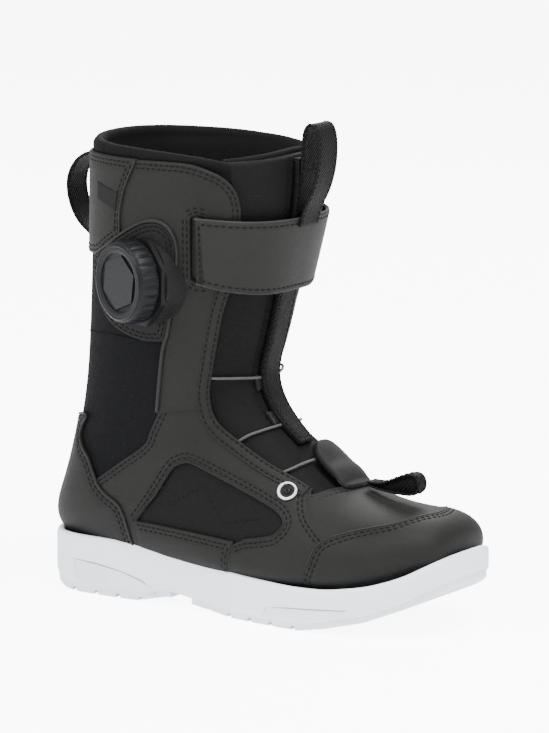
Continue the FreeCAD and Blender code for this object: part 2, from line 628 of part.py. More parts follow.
spool_core = cylinder("spool_core", "dimensions.spool_core", "dimensions.spool_high", SPOOL_LIFT)
lower_flange = cylinder("spool_low", "dimensions.spool_radius", SPOOL_FLANGE, SPOOL_LIFT)
upper_flange = cylinder("spool_top", "dimensions.spool_radius", SPOOL_FLANGE,
                        SPOOL_LIFT + size("spool_high") - SPOOL_FLANGE)
spool_hole = cylinder("spool_hole", "dimensions.axle_radius", THROUGH, -5, RUNNING_FIT)
spool = cut("lace_spool", fused("spool_body", spool_core, lower_flange, upper_flange), spool_hole)
spool.Placement = DIAL
add(spool, "lace_spool")

HUB_RADIUS, HUB_HIGH = 7.0, 3.8
HEAD_RECESS_RADIUS, HEAD_RECESS_LIFT = 4.6, 2.2
disc = cylinder("rotor_disc", "dimensions.rotor_radius", "dimensions.rotor_high", ROTOR_LIFT)
hub = cylinder("rotor_hub", HUB_RADIUS, HUB_HIGH, ROTOR_LIFT)
rotor_hole = cylinder("rotor_hole", "dimensions.axle_radius", THROUGH, -5, RUNNING_FIT)
head_recess = cylinder("head_recess", HEAD_RECESS_RADIUS, 5, ROTOR_LIFT + HEAD_RECESS_LIFT)
rotor = cut("pawl_disc", fused("rotor_body", disc, hub), fused("rotor_holes", rotor_hole, head_recess))
rotor.Placement = DIAL
add(rotor, "pawl_disc")

SCREW_LIFT, SCREW_LONG, HEAD_RADIUS, HEAD_HIGH = 0.6, 10.2, 4.2, 1.1
screw_shank = cylinder("screw_shank", "dimensions.axle_radius", SCREW_LONG, SCREW_LIFT)
screw_head = cylinder("screw_head", HEAD_RADIUS, HEAD_HIGH, SCREW_LIFT + SCREW_LONG - 0.1)
screw = fused("dial_screw", screw_shank, screw_head)
screw.Placement = DIAL
add(screw, "dial_screw")

CAP_SEAT = 1.6
CAP_SEAT_RADIUS = 17.0
knob = DOC.addObject("PartDesign::Body", "dial_knob")


def knob_sketch(name, lift):
    """A sketch across the dial's axis in the knob's body."""
    plane = next(f for f in knob.Origin.OriginFeatures if f.Role == "XY_Plane")
    sketch = knob.newObject("Sketcher::SketchObject", name)
    sketch.AttachmentSupport = [(plane, "")]
    sketch.MapMode = "FlatFace"
    sketch.AttachmentOffset = Placement(Vector(0, 0, lift), Rotation())
    return sketch


def circle(sketch, radius, x=0.0, expression=None):
    """A circle in a sketch, its radius a driving constraint."""
    index = sketch.addGeometry(Part.Circle(Vector(x, 0, 0), Vector(0, 0, 1), radius), False)
    constraint = sketch.addConstraint(Sketcher.Constraint("Radius", index, radius))
    if expression:
        sketch.setExpression(f"Constraints[{constraint}]", expression)


outline = knob_sketch("knob_outline", KNOB_LIFT)
circle(outline, size("knob_radius"), expression="dimensions.knob_radius")
body_pad = knob.newObject("PartDesign::Pad", "knob_pad")
body_pad.Profile = outline
body_pad.setExpression("Length", "dimensions.knob_high")
DOC.recompute()

SKIRT_GAP = 0.6
hollow_sketch = knob_sketch("knob_hollow_outline", KNOB_LIFT)
circle(hollow_sketch, size("housing_radius") + SKIRT_GAP, expression=f"dimensions.housing_radius + {SKIRT_GAP}")
hollow = knob.newObject("PartDesign::Pocket", "knob_hollow")
hollow.Profile = hollow_sketch
hollow.Reversed = True
hollow.setExpression("Length", "dimensions.housing_high")
seat_sketch = knob_sketch("cap_seat_outline", KNOB_LIFT + size("knob_high"))
circle(seat_sketch, CAP_SEAT_RADIUS)
seat = knob.newObject("PartDesign::Pocket", "cap_seat")
seat.Profile = seat_sketch
seat.Length = CAP_SEAT
grip_sketch = knob_sketch("grip_outline", KNOB_LIFT + size("knob_high"))
circle(grip_sketch, size("grip_radius"), size("knob_radius") + 0.3, "dimensions.grip_radius")
grip = knob.newObject("PartDesign::Pocket", "grip")
grip.Profile = grip_sketch
grip.setExpression("Length", "dimensions.knob_high")
DOC.recompute()
grips = knob.newObject("PartDesign::PolarPattern", "grips")
grips.Originals = [grip]
grips.Axis = (grip_sketch, ["N_Axis"])
grips.Angle = 360
grips.setExpression("Occurrences", "dimensions.grip_count")
knob.Tip = grips
knob.Placement = DIAL
DOC.recompute()
add(knob, "dial_knob")

cap = hexagon("dial_cap", "dimensions.cap_flat / cos(30)", 6, 0.9, KNOB_LIFT + size("knob_high") - CAP_SEAT)
cap.Placement = DIAL * cap.Placement
add(cap, "dial_cap")

# ------------------------------------------------------------------ checks and export
DOC.recompute()
for item in DOC.Objects:
    if "Invalid" in item.State or "Error" in item.State:
        raise RuntimeError(f"{item.Label} failed: {item.State}")
os.makedirs("parts", exist_ok=True)
for piece in PIECES:
    shape = piece.Shape
    if shape.isNull() or not shape.isValid() or shape.Volume < SMALLEST_SOLID:
        raise RuntimeError(f"{piece.Label} has no valid shape")
    shape.exportStep(f"parts/{piece.Label}.step")
    print(f"{piece.Label:22s} {shape.Volume / 1000:8.2f} cm3  {len(shape.Solids)} solid")
print(Part.makeCompound([piece.Shape for piece in PIECES]).optimalBoundingBox())
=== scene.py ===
"""Snowboard boot, right foot: panelled leather upper, white cup sole, side dial, power strap and liner."""
import math

import bmesh
import bpy
import numpy as np
from mathutils import Matrix, Vector
from mathutils.geometry import delaunay_2d_cdt
from mathutils.kdtree import KDTree


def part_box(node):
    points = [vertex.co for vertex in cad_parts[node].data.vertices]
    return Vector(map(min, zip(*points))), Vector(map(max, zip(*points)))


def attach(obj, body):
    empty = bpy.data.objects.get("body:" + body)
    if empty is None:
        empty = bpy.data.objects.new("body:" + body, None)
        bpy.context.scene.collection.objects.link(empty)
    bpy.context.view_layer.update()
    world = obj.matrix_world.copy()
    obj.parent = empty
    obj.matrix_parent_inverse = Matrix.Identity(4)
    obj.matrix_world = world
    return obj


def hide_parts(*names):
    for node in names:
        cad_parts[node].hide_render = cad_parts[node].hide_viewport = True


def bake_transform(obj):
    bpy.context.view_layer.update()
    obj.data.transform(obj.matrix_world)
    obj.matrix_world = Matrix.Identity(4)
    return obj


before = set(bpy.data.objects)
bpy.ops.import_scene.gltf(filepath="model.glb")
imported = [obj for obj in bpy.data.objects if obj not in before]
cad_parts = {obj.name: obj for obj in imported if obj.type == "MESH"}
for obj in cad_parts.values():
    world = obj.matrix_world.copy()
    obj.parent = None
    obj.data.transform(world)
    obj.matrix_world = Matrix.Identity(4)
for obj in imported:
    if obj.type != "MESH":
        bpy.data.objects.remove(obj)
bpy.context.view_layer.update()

MM = 0.001
bpy.ops.object.select_all(action="DESELECT")

# ---------------- upper: panels cut from synthetic leather, lasted and sewn
# The lower panel of each pair runs under the upper one and is glued and double stitched to it. Heights are
# millimetres over the last. Most seams run on both sides of the boot alike.
#
# The last that they are pulled over: girth sections from the toe tip (0) to above the collar (18). Each row:
# front or top point x, z, back or bottom point x, z, half width, share of the depth at the widest point,
# roundness in front and behind.
HEEL_X, CENTRE_Y = -133.2, 6.5
SECTIONS = np.array([
    (265.5, 48.5, 265.5, 45.5, 2, 0.55, 2.0, 2.0),
    (263, 57, 262, 37.5, 23, 0.55, 2.2, 2.3),
    (256, 63, 254, 32, 33.5, 0.58, 2.3, 2.6),
    (245, 66, 240, 27, 41.5, 0.62, 2.3, 3.0),
    (229, 67, 220, 23, 47, 0.66, 2.3, 3.3),
    (211, 69.5, 197, 20.5, 49.5, 0.68, 2.3, 3.5),
    (193, 76, 169, 19, 49, 0.70, 2.3, 3.5),
    (176, 86.5, 137, 19, 46.5, 0.70, 2.3, 3.5),
    (161, 99, 103, 20, 44, 0.66, 2.4, 3.3),
    (148, 112, 66, 21, 42, 0.58, 2.5, 3.0),
    (140, 124.5, 29, 22, 41, 0.50, 2.6, 2.7),
    (137.5, 138, -1, 35, 42, 0.48, 2.6, 2.5),
    (141, 153, 2, 60, 44, 0.48, 2.6, 2.4),
    (145.5, 171, 12, 92, 46, 0.48, 2.6, 2.4),
    (150.5, 192, 19, 127, 48.5, 0.48, 2.5, 2.4),
    (156, 216, 23, 170, 52, 0.48, 2.5, 2.4),
    (160.5, 240, 25.5, 214, 55, 0.48, 2.5, 2.4),
    (162, 263, 27, 262, 57, 0.48, 2.4, 2.4),
    (163, 285, 28, 290, 59, 0.48, 2.4, 2.4),
])
LAST_SECTION = len(SECTIONS) - 1
HALF = 16.0  # the girth runs from 0 in front to 16 behind, negative on the outer side
TOE_BEND, BEND_FROM, BEND_LENGTH = 5.0, 120.0, 150.0


def curvatures(rows):
    """Second differences of a natural cubic through rows one step apart."""
    count = len(rows)
    system = np.eye(count) * 4.0
    system[0, 0] = system[-1, -1] = 1.0
    right = np.zeros_like(rows)
    for i in range(1, count - 1):
        system[i, i - 1] = system[i, i + 1] = 1.0
        right[i] = 6.0 * (rows[i + 1] - 2.0 * rows[i] + rows[i - 1])
    return np.linalg.solve(system, right)


SECTION_BEND = curvatures(SECTIONS)


def section_at(v):
    """The eight measures of the section at v, which may lie between two rows."""
    v = np.clip(np.asarray(v, float), 0.0, LAST_SECTION - 1e-6)
    low = np.floor(v).astype(int)
    b = (v - low)[:, None]
    a = 1.0 - b
    return (a * SECTIONS[low] + b * SECTIONS[low + 1]
            + ((a**3 - a) * SECTION_BEND[low] + (b**3 - b) * SECTION_BEND[low + 1]) / 6.0)


def even(x):
    """Spreads the girth evenly where the section's formula bunches it."""
    x = np.clip(x, 0.0, 1.0)
    return x**1.22 / (x**1.22 + (1.0 - x) ** 1.22)


def spot(v, p):
    """Places on the last, in millimetres from the heel point, for section v and girth p."""
    v, p = np.broadcast_arrays(np.atleast_1d(np.asarray(v, float)), np.atleast_1d(np.asarray(p, float)))
    rows = section_at(v)
    p = (p + HALF) % (2 * HALF) - HALF
    side = np.where(p < 0, -1.0, 1.0)
    reach = np.abs(p) / (HALF / 2)
    front = reach <= 1.0
    angle = even(np.where(front, reach, 2.0 - reach)) * math.pi / 2
    cos, sin = np.clip(np.cos(angle), 0, 1), np.clip(np.sin(angle), 0, 1)
    widest = rows[:, 5]
    power = 2.0 / np.where(front, rows[:, 6], rows[:, 7])
    share = np.where(front, widest * (1 - cos**power), 1 - (1 - widest) * (1 - cos**power))
    x = rows[:, 0] + (rows[:, 2] - rows[:, 0]) * share
    z = rows[:, 1] + (rows[:, 3] - rows[:, 1]) * share
    bend = TOE_BEND * np.clip((x - BEND_FROM) / BEND_LENGTH, 0, 1) ** 1.5
    return np.stack([x, bend + side * rows[:, 4] * sin**power, z], axis=1)


def slopes(v, p):
    """How a place on the last moves with the section and with the girth."""
    v, p = np.atleast_1d(v).astype(float), np.atleast_1d(p).astype(float)
    high, low = np.minimum(v + 0.02, LAST_SECTION), np.maximum(v - 0.02, 0.0)
    along = (spot(high, p) - spot(low, p)) / (high - low)[:, None]
    around = (spot(v, p + 0.05) - spot(v, p - 0.05)) / 0.1
    return along, around


def outward(v, p):
    """The last's outward direction."""
    along, around = slopes(v, p)
    normal = np.cross(around, along)
    return normal / np.maximum(np.linalg.norm(normal, axis=1, keepdims=True), 1e-9)


def lifted(v, p, height):
    """Places at a height in millimetres over the last, in the row frame, in metres."""
    height = np.broadcast_to(np.atleast_1d(np.asarray(height, float)), np.atleast_1d(v).shape)
    return (spot(v, p) + outward(v, p) * height[:, None] + np.array([HEEL_X, CENTRE_Y, 0.0])) * MM


def settle(v, p, target):
    """The section and girth nearest to places in millimetres, starting from v and p."""
    v, p = np.atleast_1d(v).astype(float).copy(), np.atleast_1d(p).astype(float).copy()
    for _ in range(6):
        along, around = slopes(v, p)
        gap = target - spot(v, p)
        aa, ab, bb = (along * along).sum(1), (along * around).sum(1), (around * around).sum(1)
        ga, gb = (gap * along).sum(1), (gap * around).sum(1)
        det = np.maximum(aa * bb - ab * ab, 1e-6)
        v = np.clip(v + np.clip((ga * bb - gb * ab) / det, -0.6, 0.6), 0.0, LAST_SECTION)
        p = p + np.clip((gb * aa - ga * ab) / det, -1.0, 1.0)
    return v, p


GRID_V, GRID_P = [g.ravel() for g in np.meshgrid(np.linspace(0, LAST_SECTION, 181),
                                                 np.linspace(-HALF, HALF, 129), indexing="ij")]
GRID_XYZ = spot(GRID_V, GRID_P)
REGIONS = {"outer": GRID_P <= 0, "inner": GRID_P >= 0, "front": np.abs(GRID_P) < 9, "back": np.abs(GRID_P) > 9}
SIDE_VIEW, FRONT_VIEW, TOP_VIEW = (0, 2), (1, 2), (0, 1)


def located(points, region, view=SIDE_VIEW):
    """Section and girth of points given by two coordinates in a view, within one region of the last."""
    first, second = view
    allowed = np.flatnonzero(REGIONS[region])
    found = []
    for one, two in points:
        gap = (GRID_XYZ[allowed, first] - one) ** 2 + (GRID_XYZ[allowed, second] - two) ** 2
        v, p = GRID_V[allowed[gap.argmin()]], GRID_P[allowed[gap.argmin()]]
        for _ in range(8):
            along, around = slopes([v], [p])
            here = spot([v], [p])[0]
            matrix = np.array([[along[0, first], around[0, first]], [along[0, second], around[0, second]]])
            if abs(np.linalg.det(matrix)) < 1e-3:
                break
            step = np.linalg.solve(matrix, [one - here[first], two - here[second]])
            v = float(np.clip(v + np.clip(step[0], -0.3, 0.3), 0, LAST_SECTION))
            p = float(np.clip(p + np.clip(step[1], -0.5, 0.5), -HALF, HALF))
        found.append((v, p))
    return found


GROWTH = 0.44  # keeps the flat sheet's small shapes close to their true proportions all the way up the shaft


def flat(v, p):
    """The last opened out round its toe tip, so that every outline can be drawn on one flat sheet."""
    v, p = np.asarray(v, float), np.asarray(p, float)
    radius = np.exp(GROWTH * v) - 1.0
    return np.stack([radius * np.cos(p * math.pi / HALF), radius * np.sin(p * math.pi / HALF)], axis=1)


def unflat(q):
    """Section and girth of places on that flat sheet."""
    q = np.asarray(q, float)
    return np.log1p(np.hypot(q[:, 0], q[:, 1])) / GROWTH, np.arctan2(q[:, 1], q[:, 0]) * HALF / math.pi


def smooth_line(points, spacing=1.6):
    """A smooth line over the last through (section, girth) points, with a point every spacing millimetres."""
    v = np.array([a for a, _ in points], float)
    p = np.unwrap(np.array([b for _, b in points], float), period=2 * HALF)
    places = spot(v, p)
    ends = np.vstack([2 * places[0] - places[1], places, 2 * places[-1] - places[-2]])
    dense, guess_v, guess_p = [], [], []
    for i in range(len(v) - 1):
        a, b, c, d = ends[i: i + 4]
        last = i == len(v) - 2
        for s in np.linspace(0, 1, 24 + last, endpoint=last):
            dense.append(0.5 * (2 * b + (c - a) * s + (2 * a - 5 * b + 4 * c - d) * s * s
                                + (3 * b - a - 3 * c + d) * s**3))
            guess_v.append(v[i] + (v[i + 1] - v[i]) * s)
            guess_p.append(p[i] + (p[i + 1] - p[i]) * s)
    fine_v, fine_p = settle(guess_v, guess_p, np.array(dense))
    places = spot(fine_v, fine_p)
    length = np.concatenate([[0], np.cumsum(np.linalg.norm(np.diff(places, axis=0), axis=1))])
    marks = np.linspace(0, length[-1], max(int(round(length[-1] / spacing)), 1) + 1)
    return np.interp(marks, length, fine_v), np.interp(marks, length, fine_p)


def shifted(v, p, distance, closed):
    """A line on the last moved to its left by distance millimetres, as seen from outside."""
    places = spot(v, p)
    if closed:
        along = np.roll(places, -1, axis=0) - np.roll(places, 1, axis=0)
    else:
        along = np.gradient(places, axis=0)
    left = np.cross(outward(v, p), along)
    left /= np.maximum(np.linalg.norm(left, axis=1, keepdims=True), 1e-9)
    return settle(v, p, places + left * distance)


def mesh_object(name, places, faces, smooth=True):
    """A mesh object in the row frame, with its place in its mesh."""
    mesh = bpy.data.meshes.new(name)
    mesh.from_pydata([tuple(p) for p in places], [], [tuple(int(i) for i in f) for f in faces])
    mesh.update()
    for polygon in mesh.polygons:
        polygon.use_smooth = smooth
    piece = bpy.data.objects.new(f"{name}_sewn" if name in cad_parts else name, mesh)
    bpy.context.scene.collection.objects.link(piece)
    return piece


def inside(q, loop):
    """Which places on the flat sheet lie inside a closed loop."""
    x, y = q[:, 0][:, None], q[:, 1][:, None]
    ax, ay = loop[:, 0][None], loop[:, 1][None]
    bx, by = np.roll(loop[:, 0], -1)[None], np.roll(loop[:, 1], -1)[None]
    crosses = (ay > y) != (by > y)
    with np.errstate(divide="ignore", invalid="ignore"):
        at = ax + (y - ay) * (bx - ax) / (by - ay)
    return (crosses & (x < at)).sum(1) % 2 == 1


def closed_loop(strokes):
    """Joins smooth lines end to end into one closed line, anticlockwise on the flat sheet."""
    v = np.concatenate([s[0][:-1] for s in strokes])
    p = np.concatenate([s[1][:-1] for s in strokes])
    q = flat(v, p)
    area = (q[:, 0] * np.roll(q[:, 1], -1) - np.roll(q[:, 0], -1) * q[:, 1]).sum()
    return (v[::-1], p[::-1]) if area < 0 else (v, p)


SHEET_V, SHEET_P = [g.ravel() for g in np.meshgrid(np.arange(0.05, LAST_SECTION, 0.12),
                                                   np.arange(-HALF, HALF, 0.32), indexing="ij")]
SHEET_Q, SHEET_XYZ = flat(SHEET_V, SHEET_P), spot(SHEET_V, SHEET_P)
EDGE_RINGS = (0.15, 0.45, 0.8, 1.2, 1.7, 2.2, 2.8, 3.6, 4.6, 5.5)
STITCH_ROWS = (2.2, 4.6)
STITCHES = {}


def distances(places, border):
    """How far each place is from the nearest point of a border."""
    tree = KDTree(len(border))
    for index, point in enumerate(border):
        tree.insert(point, index)
    tree.balance()
    return np.array([tree.find(place)[2] for place in places])


def stitch(body, v, p, height, pitch=3.6):
    """Marks a row of stitches along a line for the body's thread piece."""
    places = spot(v, p)
    length = np.concatenate([[0], np.cumsum(np.linalg.norm(np.diff(places, axis=0), axis=1))])
    count = max(int(length[-1] / pitch), 1)
    marks = (np.arange(count) + 0.5) * length[-1] / count
    at_v, at_p = np.interp(marks, length, v), np.interp(marks, length, p)
    ahead_v, ahead_p = np.interp(marks + 0.5, length, v), np.interp(marks + 0.5, length, p)
    centre = lifted(at_v, at_p, height)
    ahead = lifted(ahead_v, ahead_p, height) - centre
    STITCHES.setdefault(body, []).append((centre, ahead, outward(at_v, at_p)))


def panel(name, strokes, base, thick, holes=(), round_edge=1.0, sewn=(), rows=STITCH_ROWS, body="boot",
          padded=False, relief=None, backing=0.9):
    """A panel cut to a closed outline and pulled over the last, with rounded edges and its own thickness.

    sewn lists the strokes of the outline along which stitch rows run. A padded panel is round on both faces.
    """
    loops = [closed_loop(strokes), *[closed_loop(hole) for hole in holes]]
    loop_q = [flat(*loop) for loop in loops]
    border = np.concatenate([spot(*loop) for loop in loops])
    v_near, p_near = [], []
    for index, (v, p) in enumerate(loops):
        for ring in EDGE_RINGS:
            ring_v, ring_p = shifted(v, p, ring if index else -ring, True)
            good = distances(spot(ring_v, ring_p), border) > 0.8 * ring
            v_near.append(ring_v[good])
            p_near.append(ring_p[good])
    grid = inside(SHEET_Q, loop_q[0])
    grid[grid] = distances(SHEET_XYZ[grid], border) > EDGE_RINGS[-1] + 1.2
    v, p = np.concatenate([*v_near, SHEET_V[grid]]), np.concatenate([*p_near, SHEET_P[grid]])
    q = flat(v, p)
    keep = inside(q, loop_q[0])
    for hole in loop_q[1:]:
        keep &= ~inside(q, hole)
    v = np.concatenate([*[loop[0] for loop in loops], v[keep]])
    p = np.concatenate([*[loop[1] for loop in loops], p[keep]])
    q = flat(v, p)
    edges, start = [], 0
    for loop in loop_q:
        edges += [(start + i, start + (i + 1) % len(loop)) for i in range(len(loop))]
        start += len(loop)
    out_q, _, faces, from_vertex, _, _ = delaunay_2d_cdt([Vector(a) for a in q], edges, [], 0, 1e-6)
    out_q = np.array([tuple(a) for a in out_q])
    faces = np.array([f for f in faces if len(f) == 3])
    centre = out_q[faces].mean(1)
    good = inside(centre, loop_q[0])
    for hole in loop_q[1:]:
        good &= ~inside(centre, hole)
    faces = faces[good]
    a, b, c = out_q[faces[:, 0]], out_q[faces[:, 1]], out_q[faces[:, 2]]
    turned = (b[:, 0] - a[:, 0]) * (c[:, 1] - a[:, 1]) - (b[:, 1] - a[:, 1]) * (c[:, 0] - a[:, 0]) < 0
    faces[turned] = faces[turned][:, ::-1]
    out_v, out_p = unflat(out_q)
    source = np.array([ids[0] if ids else -1 for ids in from_vertex])
    known = source >= 0
    out_v[known], out_p[known] = v[source[known]], p[source[known]]
    places = spot(out_v, out_p)
    gap = distances(places, border)
    crown = np.sqrt(np.clip(1 - (1 - np.clip(gap / round_edge, 0, 1)) ** 2, 0, 1))
    shape = relief(places, gap) if relief else 0.0
    if padded:
        top = base + thick / 2 + (thick / 2 - 0.2) * crown + 0.2 + shape
        low = base + thick / 2 - (thick / 2 - 0.2) * crown - 0.2 + shape
    else:
        top = base + thick * crown + shape
        low = np.full(len(out_v), base - backing)
    if sewn:
        for row in rows:
            top = top - 0.28 * np.exp(-(((gap - row) / 0.6) ** 2))
    for index in sewn:
        stroke_v, stroke_p = strokes[index] if isinstance(index, int) else holes[0][index[0]]
        for row in rows:
            for sign in (1, -1):
                row_v, row_p = shifted(stroke_v, stroke_p, sign * row, False)
                middle = flat(row_v, row_p)[len(row_v) // 2: len(row_v) // 2 + 1]
                if inside(middle, loop_q[0])[0] and not any(inside(middle, hole)[0] for hole in loop_q[1:]):
                    clear = distances(spot(row_v, row_p), border) > 0.85 * row
                    if clear.sum() > 3:
                        stitch(body, row_v[clear], row_p[clear], base + thick - 0.1)
                    break
    count = len(out_v)
    used = {(int(f[k]), int(f[(k + 1) % 3])) for f in faces for k in range(3)}
    wall = []
    for i, j in sorted(used):
        if (j, i) not in used:
            wall += [(j, i, i + count), (j, i + count, j + count)]
    skin = lifted(out_v, out_p, top)
    corner = skin[faces[0]]
    facing = np.dot(np.cross(corner[1] - corner[0], corner[2] - corner[0]),
                    outward([out_v[faces[0][0]]], [out_p[faces[0][0]]])[0])
    all_faces = [*faces, *[(f[0] + count, f[2] + count, f[1] + count) for f in faces], *wall]
    if facing < 0:
        all_faces = [tuple(reversed(f)) for f in all_faces]
    return mesh_object(name, np.vstack([skin, lifted(out_v, out_p, low)]), all_faces)


def node_group(name, inputs, outputs):
    """An empty shader node group with named float inputs and outputs."""
    group = bpy.data.node_groups.new(name, "ShaderNodeTree")
    for title, value in inputs:
        socket = group.interface.new_socket(title, in_out="INPUT", socket_type="NodeSocketFloat")
        socket.default_value = value
    for title in outputs:
        group.interface.new_socket(title, in_out="OUTPUT", socket_type="NodeSocketFloat")
    return group, group.nodes.new("NodeGroupInput"), group.nodes.new("NodeGroupOutput")


def maths(tree, operation, first, second=None, third=None, clamp=False):
    """One Math node; each operand is a socket or a number."""
    node = tree.nodes.new("ShaderNodeMath")
    node.operation = operation
    node.use_clamp = clamp
    for socket, value in zip(node.inputs, (first, second, third)):
        if isinstance(value, (int, float)):
            socket.default_value = value
        elif value is not None:
            tree.links.new(value, socket)
    return node.outputs[0]


def noise(tree, scale, detail=2.0, where=None):
    """Noise on the piece's own object coordinates."""
    node = tree.nodes.new("ShaderNodeTexNoise")
    if where is None:
        where = tree.nodes.new("ShaderNodeTexCoord").outputs["Object"]
    tree.links.new(where, node.inputs["Vector"])
    if isinstance(scale, (int, float)):
        node.inputs["Scale"].default_value = scale
    else:
        tree.links.new(scale, node.inputs["Scale"])
    node.inputs["Detail"].default_value = detail
    return node.outputs["Fac"]


def leather_grain_group():
    """Pebbled grain of embossed synthetic leather: cells with creases between them, over soft mottling."""
    group, ins, outs = node_group("leather_grain", [("Cell", 1000.0), ("Mottle", 45.0)], ["Height", "Tone"])
    where = group.nodes.new("ShaderNodeTexCoord").outputs["Object"]
    cells = group.nodes.new("ShaderNodeTexVoronoi")
    cells.feature = "DISTANCE_TO_EDGE"
    group.links.new(where, cells.inputs["Vector"])
    group.links.new(ins.outputs["Cell"], cells.inputs["Scale"])
    pebble = maths(group, "SMOOTH_MIN", cells.outputs["Distance"], 0.22, 0.1)
    mottle = noise(group, ins.outputs["Mottle"], 4.0, where)
    fine = noise(group, 2600.0, 2.0, where)
    group.links.new(maths(group, "MULTIPLY_ADD", fine, 0.12, maths(group, "MULTIPLY", pebble, 2.6)),
                    outs.inputs["Height"])
    group.links.new(mottle, outs.inputs["Tone"])
    return group


def edge_wear_group():
    """How far an edge or a crest stands out and has rubbed paler, broken up by noise."""
    group, ins, outs = node_group("edge_wear", [("Start", 0.515), ("Full", 0.6)], ["Mask"])
    geometry = group.nodes.new("ShaderNodeNewGeometry")
    worn = group.nodes.new("ShaderNodeMapRange")
    group.links.new(geometry.outputs["Pointiness"], worn.inputs["Value"])
    group.links.new(ins.outputs["Start"], worn.inputs["From Min"])
    group.links.new(ins.outputs["Full"], worn.inputs["From Max"])
    broken = maths(group, "MULTIPLY_ADD", noise(group, 320.0, 4.0), 0.9, 0.35)
    group.links.new(maths(group, "MULTIPLY", worn.outputs[0], broken, clamp=True), outs.inputs["Mask"])
    return group


LEATHER_GRAIN = leather_grain_group()
EDGE_WEAR = edge_wear_group()


def finish(name, colour, pale, group, sizes, rough=(0.5, 0.64), bump=0.3, depth=0.0004, sheen=0.0,
           specular=0.14, wear=0.4, metal=0.0):
    """A finish: its colour follows the group's tone, its edges wear paler, and the height makes its bump."""
    material = bpy.data.materials.new(name)
    material.use_nodes = True
    tree = material.node_tree
    shader = tree.nodes["Principled BSDF"]
    texture = tree.nodes.new("ShaderNodeGroup")
    texture.node_tree = group
    for title, value in sizes.items():
        texture.inputs[title].default_value = value
    worn = tree.nodes.new("ShaderNodeGroup")
    worn.node_tree = EDGE_WEAR
    tone = maths(tree, "MULTIPLY_ADD", texture.outputs["Tone"], 1.6, -0.3, clamp=True)
    share = maths(tree, "MULTIPLY_ADD", worn.outputs["Mask"], wear, maths(tree, "MULTIPLY", tone, 0.6),
                  clamp=True)
    blend = tree.nodes.new("ShaderNodeMix")
    blend.data_type = "RGBA"
    blend.inputs["A"].default_value, blend.inputs["B"].default_value = (*colour, 1), (*pale, 1)
    tree.links.new(share, blend.inputs["Factor"])
    tree.links.new(blend.outputs["Result"], shader.inputs["Base Color"])
    shine = tree.nodes.new("ShaderNodeMapRange")
    shine.inputs["To Min"].default_value, shine.inputs["To Max"].default_value = rough
    tree.links.new(texture.outputs["Tone"], shine.inputs["Value"])
    tree.links.new(shine.outputs[0], shader.inputs["Roughness"])
    relief = tree.nodes.new("ShaderNodeBump")
    relief.inputs["Strength"].default_value, relief.inputs["Distance"].default_value = bump, depth
    tree.links.new(texture.outputs["Height"], relief.inputs["Height"])
    tree.links.new(relief.outputs["Normal"], shader.inputs["Normal"])
    shader.inputs["Sheen Weight"].default_value = sheen
    shader.inputs["Specular IOR Level"].default_value = specular
    shader.inputs["Metallic"].default_value = metal
    return material


def leather(name, colour, pale, cell=1000.0, **more):
    return finish(name, colour, pale, LEATHER_GRAIN, {"Cell": cell}, **more)


def dressed(piece, material, body, slot, *nodes):
    """Gives a finished piece its material and its body, and hides the plain pieces that it stands for. Its slot
    is not used.

    A piece that bends between two bodies has no body of its own here.
    """
    piece.data.materials.clear()
    piece.data.materials.append(material)
    if body:
        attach(piece, body)
    if nodes:
        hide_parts(*nodes)
    return piece


SIDES = ("outer", "inner")
UPPER_LEATHER = leather("upper_leather", (0.0069, 0.0069, 0.0064), (0.012, 0.012, 0.0114))
COUNTER_LEATHER = leather("counter_leather", (0.0063, 0.0063, 0.006), (0.0111, 0.0111, 0.0105), 900.0)
SEAM_BEAD = leather("seam_bead", (0.0102, 0.0102, 0.0096), (0.018, 0.018, 0.0171), 1600.0, rough=(0.42, 0.55))
BEHIND = HALF  # the girth of the centre line at the back and under the sole


def side_line(side, points):
    """A smooth seam through side-view points on one side."""
    return smooth_line(located(points, side))


def round_back(first, middle, second=None):
    """A smooth seam from the outer side across the centre line to the inner side."""
    second = first if second is None else second
    return smooth_line(located(first, "outer") + middle + located(second[::-1], "inner"))


def backwards(line):
    """The same line, drawn the other way."""
    return line[0][::-1], line[1][::-1]


vamp_rear = [(175.5, 73.6), (181, 77.5)]
vamp = panel("vamp", [
    side_line("outer", [(186, 30), (194, 40), (195, 52), (184, 61), (175.5, 73.6)]),
    round_back(vamp_rear, [(6.4, -3.0), (6.05, 0.0), (6.4, 3.0)]),
    side_line("inner", [(175.5, 73.6), (184, 61), (195, 52), (194, 40), (186, 30)]),
    backwards(round_back([(240, 56), (225, 52), (207, 46), (186, 30)][::-1], [(2.2, 0.0)])),
], base=-1.6, thick=1.5, sewn=(1,), relief=lambda places, gap: 0.5 * np.exp(-((places[:, 0] - 186) / 7) ** 2)
              * np.clip((places[:, 2] - 60) / 12, 0, 1))
dressed(vamp, UPPER_LEATHER, "boot", "upper_leather", "vamp")

toe_edge = [(186, 22.5), (193, 38), (199, 50.5), (213, 57), (225, 60), (238, 63)]
toe_cap = panel("toe_cap", [
    round_back(toe_edge, [(2.72, 0.0)]),
    backwards(round_back([(186, 22.5), (225, 27), (245, 33), (257, 38)], [(1.0, BEHIND)])),
], base=-0.9, thick=1.5, sewn=(0,))
dressed(toe_cap, UPPER_LEATHER, "boot", "upper_leather", "toe_cap")

